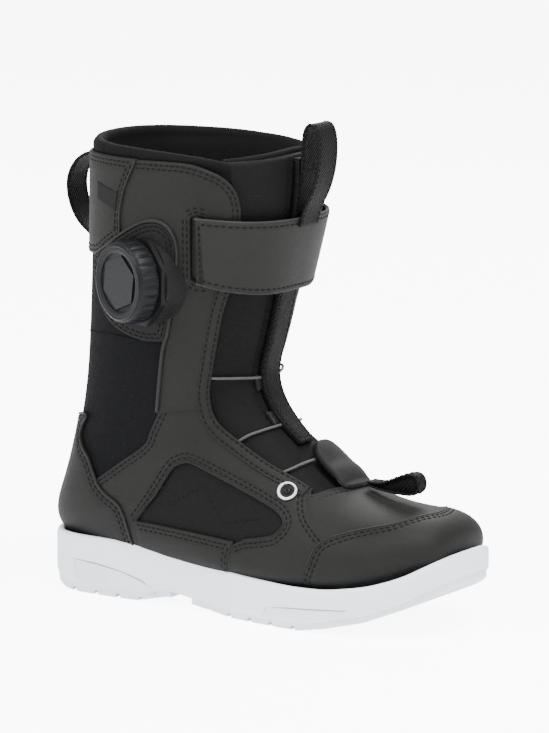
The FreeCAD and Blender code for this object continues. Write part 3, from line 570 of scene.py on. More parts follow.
for side in SIDES:
    opening = [side_line(side, [(70, 47), (84, 65), (95, 81)]),
               side_line(side, [(95, 81), (99, 84.5), (106, 87), (113, 85.5), (140, 76), (161, 68), (170, 63.5),
                                (173.5, 58), (168, 51.5), (157, 48.5), (148, 46.8), (140, 43.5)]),
               side_line(side, [(140, 43.5), (105, 45.5), (70, 47)])]
    quarter = panel(f"quarter_{side}", [
        side_line(side, [(36, 67), (42, 70), (60, 82), (77, 94), (82, 103), (88, 114)]),
        side_line(side, [(88, 114), (92, 119), (105, 121.5), (117, 123)]),
        side_line(side, [(117, 123), (123, 111), (136, 101), (154, 90), (171, 81.5), (179, 78)]),
        side_line(side, [(179, 78), (182, 70), (187, 63), (194, 57.5), (202, 52)]),
        side_line(side, [(202, 52), (199, 38), (190, 22)]),
        side_line(side, [(190, 22), (150, 21.5), (120, 23), (90, 25), (61, 26)]),
        side_line(side, [(61, 26), (57, 47), (53, 55), (38, 66), (36, 67)]),
    ], base=-1.4, thick=1.6, holes=[opening], sewn=(0, 1, 3, 4, (0,), (1,)))
    dressed(quarter, UPPER_LEATHER, "boot", "upper_leather", f"quarter_{side}")
    rand = panel(f"side_rand_{side}", [
        side_line(side, [(67, 48.5), (105, 47), (141, 44.5)]),
        side_line(side, [(141, 44.5), (138, 33), (137, 22)]),
        side_line(side, [(137, 22), (100, 24), (65, 26)]),
        side_line(side, [(65, 26), (67, 48.5)]),
    ], base=-0.5, thick=1.3, sewn=(0, 1))
    dressed(rand, UPPER_LEATHER, "boot", "upper_leather", f"side_rand_{side}")

counter_edge = [(33, 107), (30, 100), (28, 94), (31, 88), (37, 82), (41, 74), (44, 67), (50, 61), (57, 57),
                (61, 51), (64, 40), (68, 24)]
counter_rear = side_line("outer", counter_edge)
counter = panel("heel_counter", [
    counter_rear,
    round_back([(68, 24), (40, 25), (14, 28)], [(10.9, BEHIND)]),
    backwards(side_line("inner", counter_edge)),
    backwards(round_back([(33, 107), (22, 104)], [(13.2, BEHIND)])),
], base=-0.6, thick=1.7, sewn=(0, 2, 3))
dressed(counter, COUNTER_LEATHER, "boot", "counter_leather", "heel_counter")

for side in SIDES:
    if side == "outer":
        rear = [(87, 114), (91, 135), (94, 153), (98, 164), (104, 191), (106, 213), (100, 220)]
        over = [(100, 220), (85, 219), (72, 212), (66, 210)]
        slot = [side_line(side, [(115.5, 195), (119, 193), (123.5, 193)]),
                side_line(side, [(123.5, 193), (126, 231)]),
                side_line(side, [(126, 231), (121, 232), (118, 230)]),
                side_line(side, [(118, 230), (115.5, 195)])]
    else:
        rear = [(88, 114), (92, 135), (95, 153), (99, 164), (105, 191), (108, 213)]
        over = [(108, 213), (105, 223), (96, 227), (85, 224), (74, 217), (68, 212)]
        slot = None
    cuff = panel(f"cuff_{side}", [
        side_line(side, rear),
        side_line(side, over),
        side_line(side, [over[-1], (69, 242), (79, 261.5)]),
        side_line(side, [(79, 261.5), (100, 261.8), (116, 261.5), (127, 259), (137, 254), (143, 246),
                         (144.5, 236), (144, 230)]),
        side_line(side, [(144, 230), (135, 190), (129, 171), (120.5, 137), (118, 124), (117, 118)]),
        side_line(side, [(117, 118), (105, 116), (92, 114), (87, 113)]),
    ], base=-0.9, thick=1.5, sewn=(3, (0,), (2,), (3,)) if slot else (0, 1, 3), holes=[slot] if slot else ())
    dressed(cuff, UPPER_LEATHER, "boot", "upper_leather", f"cuff_{side}")
    band_edge = side_line(side, [(143, 226), (139.5, 208), (135, 190), (129, 171), (120.5, 137), (118.5, 123),
                                 (123, 111), (136, 101), (154, 90), (171, 81.5), (180, 77)])
    rear_edge = shifted(*band_edge, 8.0 if side == "outer" else -8.0, False)
    if spot(*rear_edge)[40, 0] > spot(*band_edge)[40, 0]:
        rear_edge = shifted(*band_edge, -8.0 if side == "outer" else 8.0, False)
    band = panel(f"throat_band_{side}", [
        band_edge, smooth_line([(band_edge[0][-1], band_edge[1][-1]), (rear_edge[0][-1], rear_edge[1][-1])]),
        backwards(rear_edge), smooth_line([(rear_edge[0][0], rear_edge[1][0]),
                                           (band_edge[0][0], band_edge[1][0])]),
    ], base=0.1, thick=1.1, round_edge=0.8, sewn=(0, 2), rows=(1.8,))
    dressed(band, UPPER_LEATHER, "boot", "upper_leather", f"throat_band_{side}")

back_edge = [(84, 262), (79, 252), (74, 242), (71, 230), (70, 217)]
back_panel = panel("back_panel", [
    side_line("outer", back_edge),
    round_back([(70, 217), (60, 211), (45, 203)], [(15.75, BEHIND)]),
    backwards(side_line("inner", back_edge)),
    backwards(round_back([(84, 262), (50, 262)], [(16.98, BEHIND)])),
], base=-0.3, thick=1.4, sewn=(0, 1, 2, 3))
dressed(back_panel, UPPER_LEATHER, "boot", "back_textile", "back_panel")

# ---------------- soft insets: stretch softshell behind, textile windows at the sides
# Both are woven, lie a little lower than the leather and run under its edges. The windows are piped all round.

def bead(name, v, p, height, radius, closed=False, sides=8):
    """A round bead or cord of piping along a line on the last."""
    centre = lifted(v, p, height)
    along = np.roll(centre, -1, axis=0) - np.roll(centre, 1, axis=0) if closed else np.gradient(centre, axis=0)
    up = outward(v, p)
    left = np.cross(up, along)
    left /= np.maximum(np.linalg.norm(left, axis=1, keepdims=True), 1e-12)
    turns = np.arange(sides) * 2 * math.pi / sides
    places = (centre[:, None] + radius * MM * (np.cos(turns)[None, :, None] * left[:, None]
                                               + np.sin(turns)[None, :, None] * up[:, None])).reshape(-1, 3)
    count = len(centre)
    faces = [(i * sides + k, i * sides + (k + 1) % sides, (i + 1) % count * sides + (k + 1) % sides,
              (i + 1) % count * sides + k) for i in range(count if closed else count - 1) for k in range(sides)]
    if not closed:
        faces += [tuple(reversed(range(sides))), tuple(range((count - 1) * sides, count * sides))]
    piece = mesh_object(name, places, faces)
    outward_faces(piece)
    return piece


def outward_faces(piece):
    """Turns every face of a closed mesh outwards."""
    work = bmesh.new()
    work.from_mesh(piece.data)
    bmesh.ops.recalc_face_normals(work, faces=work.faces)
    work.to_mesh(piece.data)
    work.free()


def weave_group():
    """Plain weave: crossed threads, over and under by turns, with uneven yarn."""
    group, ins, outs = node_group("weave", [("Threads", 1400.0)], ["Height", "Tone"])
    where = group.nodes.new("ShaderNodeTexCoord").outputs["Object"]
    split = group.nodes.new("ShaderNodeSeparateXYZ")
    group.links.new(where, split.inputs[0])
    facing = group.nodes.new("ShaderNodeSeparateXYZ")
    group.links.new(group.nodes.new("ShaderNodeNewGeometry").outputs["Normal"], facing.inputs[0])
    endways = maths(group, "GREATER_THAN", maths(group, "ABSOLUTE", facing.outputs["X"]),
                    maths(group, "ABSOLUTE", facing.outputs["Y"]))
    sideways = maths(group, "SUBTRACT", 1.0, endways)
    run = maths(group, "ADD", maths(group, "MULTIPLY", split.outputs["Y"], endways),
                maths(group, "MULTIPLY", split.outputs["X"], sideways))
    weft = maths(group, "SINE", maths(group, "MULTIPLY", run, ins.outputs["Threads"]))
    warp = maths(group, "SINE", maths(group, "MULTIPLY", split.outputs["Z"], ins.outputs["Threads"]))
    yarn = noise(group, 260.0, 3.0, where)
    crossing = maths(group, "MULTIPLY_ADD", maths(group, "MULTIPLY", weft, warp), 0.5, yarn)
    group.links.new(crossing, outs.inputs["Height"])
    group.links.new(maths(group, "MULTIPLY_ADD", crossing, 0.25, maths(group, "MULTIPLY", yarn, 0.7)),
                    outs.inputs["Tone"])
    return group


WEAVE = weave_group()


def cloth(name, colour, pale, threads, rough=(0.72, 0.9), bump=0.5, specular=0.09, **more):
    return finish(name, colour, pale, WEAVE, {"Threads": threads}, rough=rough, bump=bump, specular=specular,
                  **more)


BACK_TEXTILE = cloth("back_textile", (0.0022, 0.0023, 0.0029), (0.0045, 0.0046, 0.0057), 5200.0)
WINDOW_TEXTILE = cloth("window_textile", (0.0033, 0.0033, 0.0032), (0.0063, 0.0063, 0.0062), 3600.0,
                       rough=(0.6, 0.78))
PIPING = leather("piping", (0.0039, 0.0039, 0.0039), (0.0081, 0.0081, 0.0078), 2200.0, rough=(0.4, 0.5))
softshell_edge = [(112, 222), (109, 190), (102, 155), (97, 118), (86, 96), (60, 76), (36, 64)]
softshell = panel("back_softshell", [
    round_back([(112, 222), (80, 226), (46, 214)], [(15.9, BEHIND)]),
    side_line("inner", softshell_edge),
    backwards(round_back([(36, 64), (18, 84)], [(12.85, BEHIND)])),
    backwards(side_line("outer", softshell_edge)),
], base=-2.1, thick=1.0)
dressed(softshell, BACK_TEXTILE, "boot", "back_textile", "back_softshell")
softshell_seam = round_back([(100, 158), (80, 156), (50, 157)], [(14.6, BEHIND)])
dressed(bead("softshell_seam", *softshell_seam, -1.15, 0.45), BACK_TEXTILE, "boot", "back_textile")
for side in SIDES:
    window = panel(f"side_window_{side}", [
        side_line(side, [(63, 41), (80, 66), (97, 89), (116, 90), (142, 80), (164, 73), (180, 63), (174, 44),
                         (148, 39.5), (105, 40), (63, 41)])], base=-2.5, thick=1.0,
        relief=lambda places, gap: 0.5 * np.sin(np.clip(gap / 16, 0, 1) * math.pi / 2))
    dressed(window, WINDOW_TEXTILE, "boot", "window_textile", f"side_window_{side}")
    rim = side_line(side, [(141, 44.3), (105, 46.3), (70.5, 47.5), (84, 65), (95, 81), (99, 84.5), (106, 87),
                           (113, 85.5), (140, 76), (161, 68), (170, 63.5), (173.5, 58), (168, 51.5),
                           (157, 48.5), (148, 46.8)])
    dressed(bead(f"window_piping_{side}", *rim, -0.35, 0.95), PIPING, "boot", "upper_leather")
    zigzag = side_line(side, [(92, 60), (118, 74)]), side_line(side, [(118, 74), (132, 54)]), \
        side_line(side, [(132, 54), (158, 60)])
    for run in zigzag:
        stitch("boot", *run, -1.05)

# ---------------- dial panel: raised smooth leather under the dial, with a bead round it
# A smooth leather lozenge over foam that frames the dial. A round bead covers its seam and runs on down the
# cuff's rear edge; finer beads finish the back panel, the heel counter and the toe cap.
DIAL_LEATHER = leather("dial_panel_leather", (0.0042, 0.0042, 0.0046), (0.0081, 0.0081, 0.0087), 1400.0)
dial_panel = panel("dial_panel", [
    side_line("outer", [(96, 157), (100, 170), (104.5, 191), (107.5, 210), (105.5, 221), (99, 226), (90, 226),
                        (82, 223), (71, 217), (58, 209), (45, 202)]),
    side_line("outer", [(45, 202), (46, 186), (53, 171), (66, 161), (82, 156.5), (96, 157)]),
], base=0.2, thick=1.6, sewn=(0, 1))
dressed(dial_panel, DIAL_LEATHER, "boot", "dial_panel", "dial_panel")
dial_bead = side_line("outer", [(46, 203), (58, 210), (71, 218), (82, 224), (90, 227), (99, 227), (106, 221.5),
                                (108.5, 210), (105.3, 191), (99, 164), (95, 153), (91.5, 135), (88, 115)])
dressed(bead("dial_bead", *dial_bead, 0.9, 1.15), SEAM_BEAD, "boot", "dial_panel")
for side in SIDES:
    edge = side_line(side, [(83, 261), (78, 252), (73, 242), (70, 230), (69.5, 219)])
    dressed(bead(f"back_seam_{side}", *edge, 1.1, 0.7), SEAM_BEAD, "boot", "upper_leather")
counter_top = round_back(counter_edge[::-1], [(13.2, BEHIND)])
dressed(bead("counter_bead", *counter_top, 0.7, 0.8), SEAM_BEAD, "boot", "counter_leather")
dressed(bead("toe_bead", *round_back(toe_edge[1:], [(2.72, 0.0)]), 0.35, 0.6), SEAM_BEAD, "boot",
        "upper_leather")

# ---------------- tongue: textile over foam, its lower end sewn under the vamp
# It follows the throat 3 mm below the leather, runs under both edges, and bends at the instep when it swings.
TONGUE_TEXTILE = cloth("tongue_textile", (0.0032, 0.0032, 0.0031), (0.0063, 0.0063, 0.0062), 3600.0,
                       rough=(0.6, 0.8))


def bent_at_instep(piece):
    """Bakes the placement of a piece of the tongue into its mesh."""
    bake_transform(piece)


under_throat = [(139, 262), (139.5, 246), (138.5, 232), (129.5, 190), (124, 171), (115, 138), (113, 122),
                (118, 108), (132, 97), (151, 85.5), (169, 76.5), (184, 66)]
tongue_top = smooth_line(located([(139, 262)], "outer") + [(17.0, -3.2), (17.08, 0.0), (17.0, 3.2)]
                         + located([(139, 262)], "inner"))
tongue = panel("tongue", [
    side_line("outer", under_throat),
    smooth_line(located([(184, 66)], "outer") + [(5.3, 0.0)] + located([(184, 66)], "inner")),
    backwards(side_line("inner", under_throat)),
    backwards(tongue_top),
], base=-5.6, thick=3.0, round_edge=2.4, body="tongue",
    relief=lambda places, gap: -0.5 * np.exp(-(((np.abs(places[:, 1] - 1) - 13.5) / 1.3) ** 2)) - 0.35 * np.clip(
        (105 - places[:, 2]) / 10, 0, 1))
dressed(tongue, TONGUE_TEXTILE, None, "tongue_textile", "tongue", "tongue_foot")
bent_at_instep(tongue)
for edge_y in (-13.5, 14.5):
    crease = smooth_line(located([(edge_y, 258), (edge_y, 215), (edge_y, 170), (edge_y, 135), (edge_y, 112)],
                                 "front", FRONT_VIEW))
    stitch("tongue", *crease, -2.55)

# ---------------- webbing: the strip down the tongue, its lace guides and the pull loops
# Woven nylon 20 mm wide and 1.5 mm thick. Each loop is one length, folded and sewn down at both ends.

def moulded_group():
    """Fine spark-eroded texture of moulded plastic and foam, with faint broad unevenness."""
    group, ins, outs = node_group("moulded", [("Grain", 1500.0), ("Mottle", 30.0)], ["Height", "Tone"])
    where = group.nodes.new("ShaderNodeTexCoord").outputs["Object"]
    group.links.new(noise(group, ins.outputs["Grain"], 3.0, where), outs.inputs["Height"])
    group.links.new(noise(group, ins.outputs["Mottle"], 3.0, where), outs.inputs["Tone"])
    return group


MOULDED = moulded_group()


def moulded(name, colour, pale, grain=1500.0, **more):
    return finish(name, colour, pale, MOULDED, {"Grain": grain}, **more)


def placed(x, y, z):
    """A point of the row frame from millimetres measured from the heel."""
    return ((x + HEEL_X) * MM, (y + CENTRE_Y) * MM, z * MM)


WEBBING = cloth("webbing", (0.0024, 0.0024, 0.0024), (0.0062, 0.0062, 0.006), 2600.0, rough=(0.5, 0.68),
                bump=0.9, depth=0.0006)
strip_left = smooth_line(located([(-10, 263), (-10, 235), (-9.5, 200), (-9, 165), (-9, 138), (-8.5, 117),
                                  (-8, 107), (-6, 98)],
                                 "front", FRONT_VIEW))
strip_right = smooth_line(located([(10, 263), (10, 235), (9.5, 200), (9, 165), (9, 138), (8.5, 117), (8, 107),
                                   (8, 98)],
                                  "front", FRONT_VIEW))


def joined_ends(first, second):
    """The short line from the end of one seam to the start of another."""
    return smooth_line([(first[0][-1], first[1][-1]), (second[0][0], second[1][0])])


webbing_strip = panel("tongue_webbing", [strip_left, joined_ends(strip_left, backwards(strip_right)),
                                         backwards(strip_right), joined_ends(backwards(strip_right),
                                                                             strip_left)],
                      base=0.0, thick=1.4, round_edge=0.7, sewn=(0, 2), rows=(1.8,), body="tongue", backing=2.6)
dressed(webbing_strip, WEBBING, None, "webbing", "tongue_webbing")
bent_at_instep(webbing_strip)
TUNNEL = moulded("tunnel", (0.0036, 0.0036, 0.0039), (0.0072, 0.0072, 0.0078), rough=(0.3, 0.45))
for word, low, high in (("upper", 127, 136), ("lower", 108.5, 116)):
    left = smooth_line(located([(-12.5, high), (-12.5, low)], "front", FRONT_VIEW))
    right = smooth_line(located([(12.5, low), (12.5, high)], "front", FRONT_VIEW))
    guide = panel(f"lace_tunnel_{word}", [left, joined_ends(left, right), right, joined_ends(right, left)],
                  base=-2.4, thick=1.9, round_edge=1.6)
    dressed(guide, TUNNEL, "tongue", "tunnel", f"lace_tunnel_{word}")


def webbing_loop(name, route, middle, wide, body, thick=1.5, spacing=1.2):
    """Webbing swept along a smooth side-view route of (x, z) points, with rounded edges and sewn ends."""
    points = np.array(route, float)
    line = [points[0]]
    for i in range(1, len(points) - 1):
        start = points[0] if i == 1 else (points[i - 1] + points[i]) / 2
        end = points[-1] if i == len(points) - 2 else (points[i] + points[i + 1]) / 2
        for s in np.linspace(0, 1, 16)[1:]:
            line.append((1 - s) ** 2 * start + 2 * s * (1 - s) * points[i] + s * s * end)
    line = np.array(line)
    length = np.concatenate([[0], np.cumsum(np.linalg.norm(np.diff(line, axis=0), axis=1))])
    marks = np.linspace(0, length[-1], int(length[-1] / spacing) + 1)
    line = np.stack([np.interp(marks, length, line[:, i]) for i in (0, 1)], axis=1)
    along = np.gradient(line, axis=0)
    along /= np.linalg.norm(along, axis=1, keepdims=True)
    side = np.stack([-along[:, 1], along[:, 0]], axis=1)
    half, edge = wide / 2, thick / 2
    ribs = np.linspace(-half + edge, half - edge, 13)
    rim = [(half - edge + edge * math.sin(a), edge * math.cos(a)) for a in np.linspace(0, math.pi, 7)[1:-1]]
    section = [(y, edge) for y in ribs] + rim + [(y, -edge) for y in ribs[::-1]] + [(-a, -b) for a, b in rim]
    section = np.array(section)
    ripple = 1 + 0.05 * np.sin(marks * 2 * math.pi / 2.4)
    places = np.zeros((len(line), len(section), 3))
    places[:, :, 0] = line[:, None, 0] + side[:, None, 0] * section[None, :, 1] * ripple[:, None]
    places[:, :, 2] = line[:, None, 1] + side[:, None, 1] * section[None, :, 1] * ripple[:, None]
    places[:, :, 1] = middle + section[None, :, 0]
    places = (places.reshape(-1, 3) + np.array([HEEL_X, CENTRE_Y, 0])) * MM
    count, around = len(line), len(section)
    faces = [(i * around + k, i * around + (k + 1) % around, (i + 1) * around + (k + 1) % around,
              (i + 1) * around + k)
             for i in range(count - 1) for k in range(around)]
    faces += [tuple(reversed(range(around))), tuple(range((count - 1) * around, count * around))]
    piece = mesh_object(name, places, faces)
    outward_faces(piece)
    stitched = slice(2, -2, 3)
    ahead = np.stack([along[:, 0], np.zeros(count), along[:, 1]], axis=1)
    for face in (1, -1):
        up = np.stack([side[:, 0], np.zeros(count), side[:, 1]], axis=1) * face
        for y in (-half + 2.0, half - 2.0):
            centre = np.stack([line[:, 0] + HEEL_X, np.full(count, middle + y + CENTRE_Y), line[:, 1]],
                              axis=1) * MM
            centre = centre + up * (edge * MM)
            STITCHES.setdefault(body, []).append((centre[stitched], ahead[stitched], up[stitched]))
    return piece


heel_loop = webbing_loop("heel_loop", [(27, 258), (19, 257), (8, 252), (1.5, 241), (2.2, 228), (8, 216),
                                       (17, 209), (24.5, 203)], 0.0, 20.0, "boot")
dressed(heel_loop, WEBBING, "boot", "webbing", "heel_loop")
tongue_loop = webbing_loop("tongue_loop", [(163.2, 224), (165, 233), (171.5, 244), (175.6, 258), (176.2, 274),
                                           (173, 282.5), (167, 282), (164.8, 272), (164.4, 254)], 0.0, 20.0,
                           "tongue")
dressed(tongue_loop, WEBBING, "tongue", "webbing", "tongue_loop")
toe_loop = webbing_loop("toe_loop", [(199, 76.2), (204, 74.9), (212, 73.6), (222, 72.9), (231, 73.2),
                                     (234, 78.5), (231.5, 84.8), (225, 84.4), (216, 80.6), (208, 76.8),
                                     (199.5, 77.6)],
                        10.0, 10.0, "toe_loop", thick=1.3)
dressed(toe_loop, WEBBING, "toe_loop", "webbing", "toe_loop")
# the loop's doubled middle, a flat fold of the same webbing
FOLD_SIDE = [(204, 75.9), (216, 74.0), (224, 73.4), (230.8, 74.0), (232.8, 78.5), (230.8, 84.2), (225, 84.1),
             (216, 80.5), (209, 77.1)]
FOLD_LAYERS = [(7.2, 0.9), (7.8, 1.0), (12.2, 1.0), (12.8, 0.9)]
fold_middle = np.mean(FOLD_SIDE, axis=0)
fold_places = []
for y, share in FOLD_LAYERS:
    for x, z in fold_middle + (np.array(FOLD_SIDE) - fold_middle) * share:
        fold_places.append(placed(x, y, z))
around = len(FOLD_SIDE)
fold_faces = [(i * around + k, i * around + (k + 1) % around, (i + 1) * around + (k + 1) % around,
               (i + 1) * around + k)
              for i in range(len(FOLD_LAYERS) - 1) for k in range(around)]
fold_faces += [tuple(range(around)), tuple(range(3 * around, 4 * around))]
toe_fold = mesh_object("toe_loop_fold", fold_places, fold_faces)
outward_faces(toe_fold)
dressed(toe_fold, WEBBING, "toe_loop", "webbing")
back_left = smooth_line(located([(-11, 258), (-11, 240), (-11, 222), (-11, 206)], "back", FRONT_VIEW))
back_right = smooth_line(located([(11, 206), (11, 222), (11, 240), (11, 258)], "back", FRONT_VIEW))
back_strip = panel("back_strip", [back_left, joined_ends(back_left, back_right), back_right,
                                  joined_ends(back_right, back_left)], base=0.9, thick=1.0, sewn=(0, 1, 2),
                   rows=(1.8,))
dressed(back_strip, WEBBING, "boot", "webbing")

# ---------------- instep flap: a leather tab over the lowest lace, held down by the webbing
# One smooth leather tab, folded edge and foam backed, about 30 by 27 mm. Its lower end is sewn in under the
# vamp's rear edge and its rounded upper end is free.
FLAP_LEATHER = leather("flap_leather", (0.0055, 0.0055, 0.0055), (0.009, 0.009, 0.0089), 1300.0,
                       rough=(0.42, 0.55))
flap_line = located([(165, 2), (166.5, -2), (170, -5.5), (177, -7), (185, -8), (191, -8.5), (194.5, -6),
                     (196, 4), (196, 13), (194, 19), (186, 20), (178, 20), (171, 18), (166.5, 13.5), (165, 8)],
                    "front", TOP_VIEW)
flap_edge = smooth_line(flap_line)
flap = panel("instep_flap", [flap_edge, smooth_line([flap_line[-1], flap_line[0]])], base=2.3, thick=2.2,
             round_edge=1.1, backing=1.2,
             relief=lambda places, gap: 1.3 * np.sin(np.clip(gap / 11, 0, 1) * math.pi / 2)
             + 1.6 * np.clip((178 - places[:, 0]) / 12, 0, 1)
             - 2.6 * np.clip((places[:, 0] - 183) / 9, 0, 1) ** 1.5)
dressed(flap, FLAP_LEATHER, "boot", "flap_leather", "instep_flap")

# ---------------- power strap: doubled leather through a slot in the outer cuff
# The cut edge shows paler. It passes over the tongue and is held inside by a patch of hook and loop.
STRAP_LEATHER = leather("strap_leather", (0.0099, 0.0099, 0.0095), (0.015, 0.015, 0.0144), 1100.0)
STRAP_EDGE = leather("strap_edge", (0.018, 0.018, 0.0174), (0.0315, 0.0315, 0.03), 2500.0, rough=(0.5, 0.6))
STRAP_LOW, STRAP_HIGH = 187.0, 229.0


def round_front(outer_side, z, inner_side):
    """A line at one height across the front, from the outer side to the inner side."""
    middle = located([(-24, z), (0, z), (24, z)], "front", FRONT_VIEW)
    return smooth_line(located(outer_side, "outer") + middle + located(inner_side, "inner"))


lower_edge = round_front([(119, 193.5), (134, 189.5)], STRAP_LOW, [(134, 188.5), (110, 190.5), (87, 192)])
upper_edge = round_front([(121.5, 231), (136, 230)], STRAP_HIGH, [(136, 229.5), (110, 230), (87, 230)])
tail_end = smooth_line(located([(87, 192), (84.5, 196), (84.5, 226), (87, 230)], "inner"))
slot_end = smooth_line(located([(121.5, 231), (119, 193.5)], "outer"))
strap_border = [lower_edge, tail_end, backwards(upper_edge), slot_end]
strap = panel("power_strap", strap_border, base=2.5, thick=2.2, round_edge=0.6, sewn=(0, 1, 2, 3), rows=(2.6,),
              body="power_strap", backing=0.1,
              relief=lambda places, gap: -2.6 * np.clip((124.5 - places[:, 0]) / 5, 0, 1) * (places[:, 1] < 0))
dressed(strap, STRAP_LEATHER, "power_strap", "strap_leather", "power_strap")
for word, line in (("low", lower_edge), ("high", upper_edge), ("tail", tail_end)):
    dressed(bead(f"strap_edge_{word}", *line, 3.6, 0.75), STRAP_EDGE, "power_strap", "strap_leather")
anchor = panel("strap_anchor", [side_line("outer",
                                          [(112, 193), (127, 190), (129, 233), (114, 234), (112, 193)])],
               base=-2.6, thick=0.8)
dressed(anchor, PIPING, "boot", "strap_leather", "strap_anchor")
HOOK_LOOP = finish("hook_loop", (0.0024, 0.0024, 0.0024), (0.009, 0.009, 0.009), LEATHER_GRAIN,
                   {"Cell": 1500.0}, rough=(0.85, 0.95), bump=1.0, depth=0.001)
patch = panel("hook_patch", [side_line("inner", [(89, 196), (122, 194)]),
                             side_line("inner", [(122, 194), (122.5, 224)]),
                             side_line("inner", [(122.5, 224), (89, 225)]),
                             side_line("inner", [(89, 225), (89, 196)])],
              base=0.3, thick=1.2, sewn=(0, 1, 2, 3), rows=(1.8,))
dressed(patch, HOOK_LOOP, "boot", "hook_loop", "hook_patch")

# ---------------- liner: a padded collar roll over a foam bootie with its own tongue
# Fleece outside and in. The collar stands out of the cuff and is quilted in short channels.
COLLAR_TEXTILE = cloth("collar_textile", (0.0022, 0.0022, 0.0024), (0.0046, 0.0046, 0.0048), 4200.0)
LINER_TEXTILE = cloth("liner_textile", (0.003, 0.003, 0.0033), (0.0066, 0.0066, 0.0069), 3000.0)


def round_collar(points, back_section):
    """A line round the collar from the outer end of its gap, behind the leg, to the inner end."""
    return smooth_line(located(points, "outer") + [(back_section, BEHIND)] + located(points[::-1], "inner"))


collar_low = round_collar([(141, 240), (125, 243), (100, 245), (66, 246)], 16.55)
collar_high = round_collar([(144, 261), (125, 264.5), (100, 266.5), (66, 268)], 17.24)
collar = panel("liner_collar", [collar_low, joined_ends(collar_low, backwards(collar_high)),
                                backwards(collar_high), joined_ends(backwards(collar_high), collar_low)],
               base=-10.2, thick=7.0, round_edge=4.5, padded=True,
               relief=lambda places, gap: 2.2 * np.clip((places[:, 2] - 256) / 7, 0, 1)
               - 0.5 * np.exp(-((np.remainder(places[:, 0], 22) - 11) / 1.6) ** 2) * (places[:, 2] > 200))
dressed(collar, COLLAR_TEXTILE, "boot", "collar_textile", "liner_collar")
shell_front = [(141.5, 250), (140, 240), (131, 190), (125, 171), (116, 137), (114, 122), (119, 107), (133, 96),
               (152, 84), (170, 75)]
shell_top = round_collar([(141.5, 250), (125, 252), (100, 253), (66, 253)], 16.8)
shell = panel("liner_shell", [
    backwards(side_line("outer", shell_front)), shell_top, side_line("inner", shell_front),
    smooth_line(located([(170, 75)], "inner") + [(6.0, 0.0)] + located([(170, 75)], "outer")),
], base=-9.6, thick=5.6, round_edge=2.5, relief=lambda places, gap: -0.8 * np.clip((60 - places[:, 2]) / 20, 0,
                                                                                   1))
dressed(shell, LINER_TEXTILE, "boot", "liner_foam", "liner_shell")
inner_tongue_edge = [(136, 263), (134, 240), (125, 190), (119, 171), (111, 138), (110, 122), (117, 106),
                     (133, 93.5), (150, 85)]
inner_top = smooth_line(located([(136, 263)], "outer") + [(17.1, -3.0), (17.2, 0.0), (17.1, 3.0)]
                        + located([(136, 263)], "inner"))
liner_tongue = panel("liner_tongue", [
    side_line("outer", inner_tongue_edge),
    smooth_line(located([(150, 85)], "outer") + [(7.0, 0.0)] + located([(150, 85)], "inner")),
    backwards(side_line("inner", inner_tongue_edge)), backwards(inner_top),
], base=-11.2, thick=4.6, round_edge=2.3, padded=True)
dressed(liner_tongue, LINER_TEXTILE, None, "liner_foam", "liner_tongue")
bent_at_instep(liner_tongue)

# ---------------- label and badge: both plain, with nothing printed on them
# The label is a narrow woven one sewn to the back panel. The badge is a moulded rubber disc with a raised
# pale ring, pressed into the throat band.
LABEL_CLOTH = cloth("label_cloth", (0.009, 0.009, 0.009), (0.0165, 0.0165, 0.0165), 5200.0)
label = panel("woven_label", [side_line("outer", [(51, 246), (69, 241.5)]),
                              side_line("outer", [(69, 241.5), (67, 231)]),
                              side_line("outer", [(67, 231), (51, 236)]),
                              side_line("outer", [(51, 236), (51, 246)])],
              base=1.1, thick=0.6, round_edge=0.4)
dressed(label, LABEL_CLOTH, "boot", "label", "woven_label")
BADGE_WHITE = moulded("badge_white", (0.62, 0.63, 0.64), (0.72, 0.73, 0.74), 900.0, rough=(0.3, 0.4), wear=0.0)
BADGE_DARK = moulded("badge_dark", (0.0042, 0.0042, 0.0045), (0.0084, 0.0084, 0.009), 900.0, rough=(0.35, 0.45))
badge_low, badge_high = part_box("side_badge")
badge_middle = (Vector(badge_low) + Vector(badge_high)) / 2
badge_v, badge_p = settle([7.0], [-3.4], np.array([[*badge_middle]]) / MM - np.array([HEEL_X, CENTRE_Y, 0.0]))
turns = np.arange(40) * 2 * math.pi / 40
along, around = slopes(badge_v, badge_p)
first = along[0] / np.linalg.norm(along[0])
second = np.cross(outward(badge_v, badge_p)[0], first)
for name, radius, height, wire, paint in (("side_badge_ring", 5.0, 0.55, 0.85, BADGE_WHITE),
                                          ("side_badge_dot", 1.2, 0.6, 1.0, BADGE_DARK),
                                          ("side_badge_rim", 6.1, 0.3, 0.5, BADGE_DARK)):
    circle = spot(badge_v, badge_p) + radius * (np.cos(turns)[:, None] * first + np.sin(turns)[:, None] * second)
    ring = bead(name, *settle(np.repeat(badge_v, 40), np.repeat(badge_p, 40), circle), height, wire,
                closed=True)
    dressed(ring, paint, "boot", "badge")
badge_face = panel("side_badge", [settle(np.repeat(badge_v, 41), np.repeat(badge_p, 41),
                                         spot(badge_v, badge_p) + 6.0 * (
    np.cos(np.append(turns, 0))[:, None] * first + np.sin(np.append(turns, 0))[:, None] * second))],
    base=0.15, thick=0.35, round_edge=0.3)
dressed(badge_face, BADGE_DARK, "boot", "badge", "side_badge")

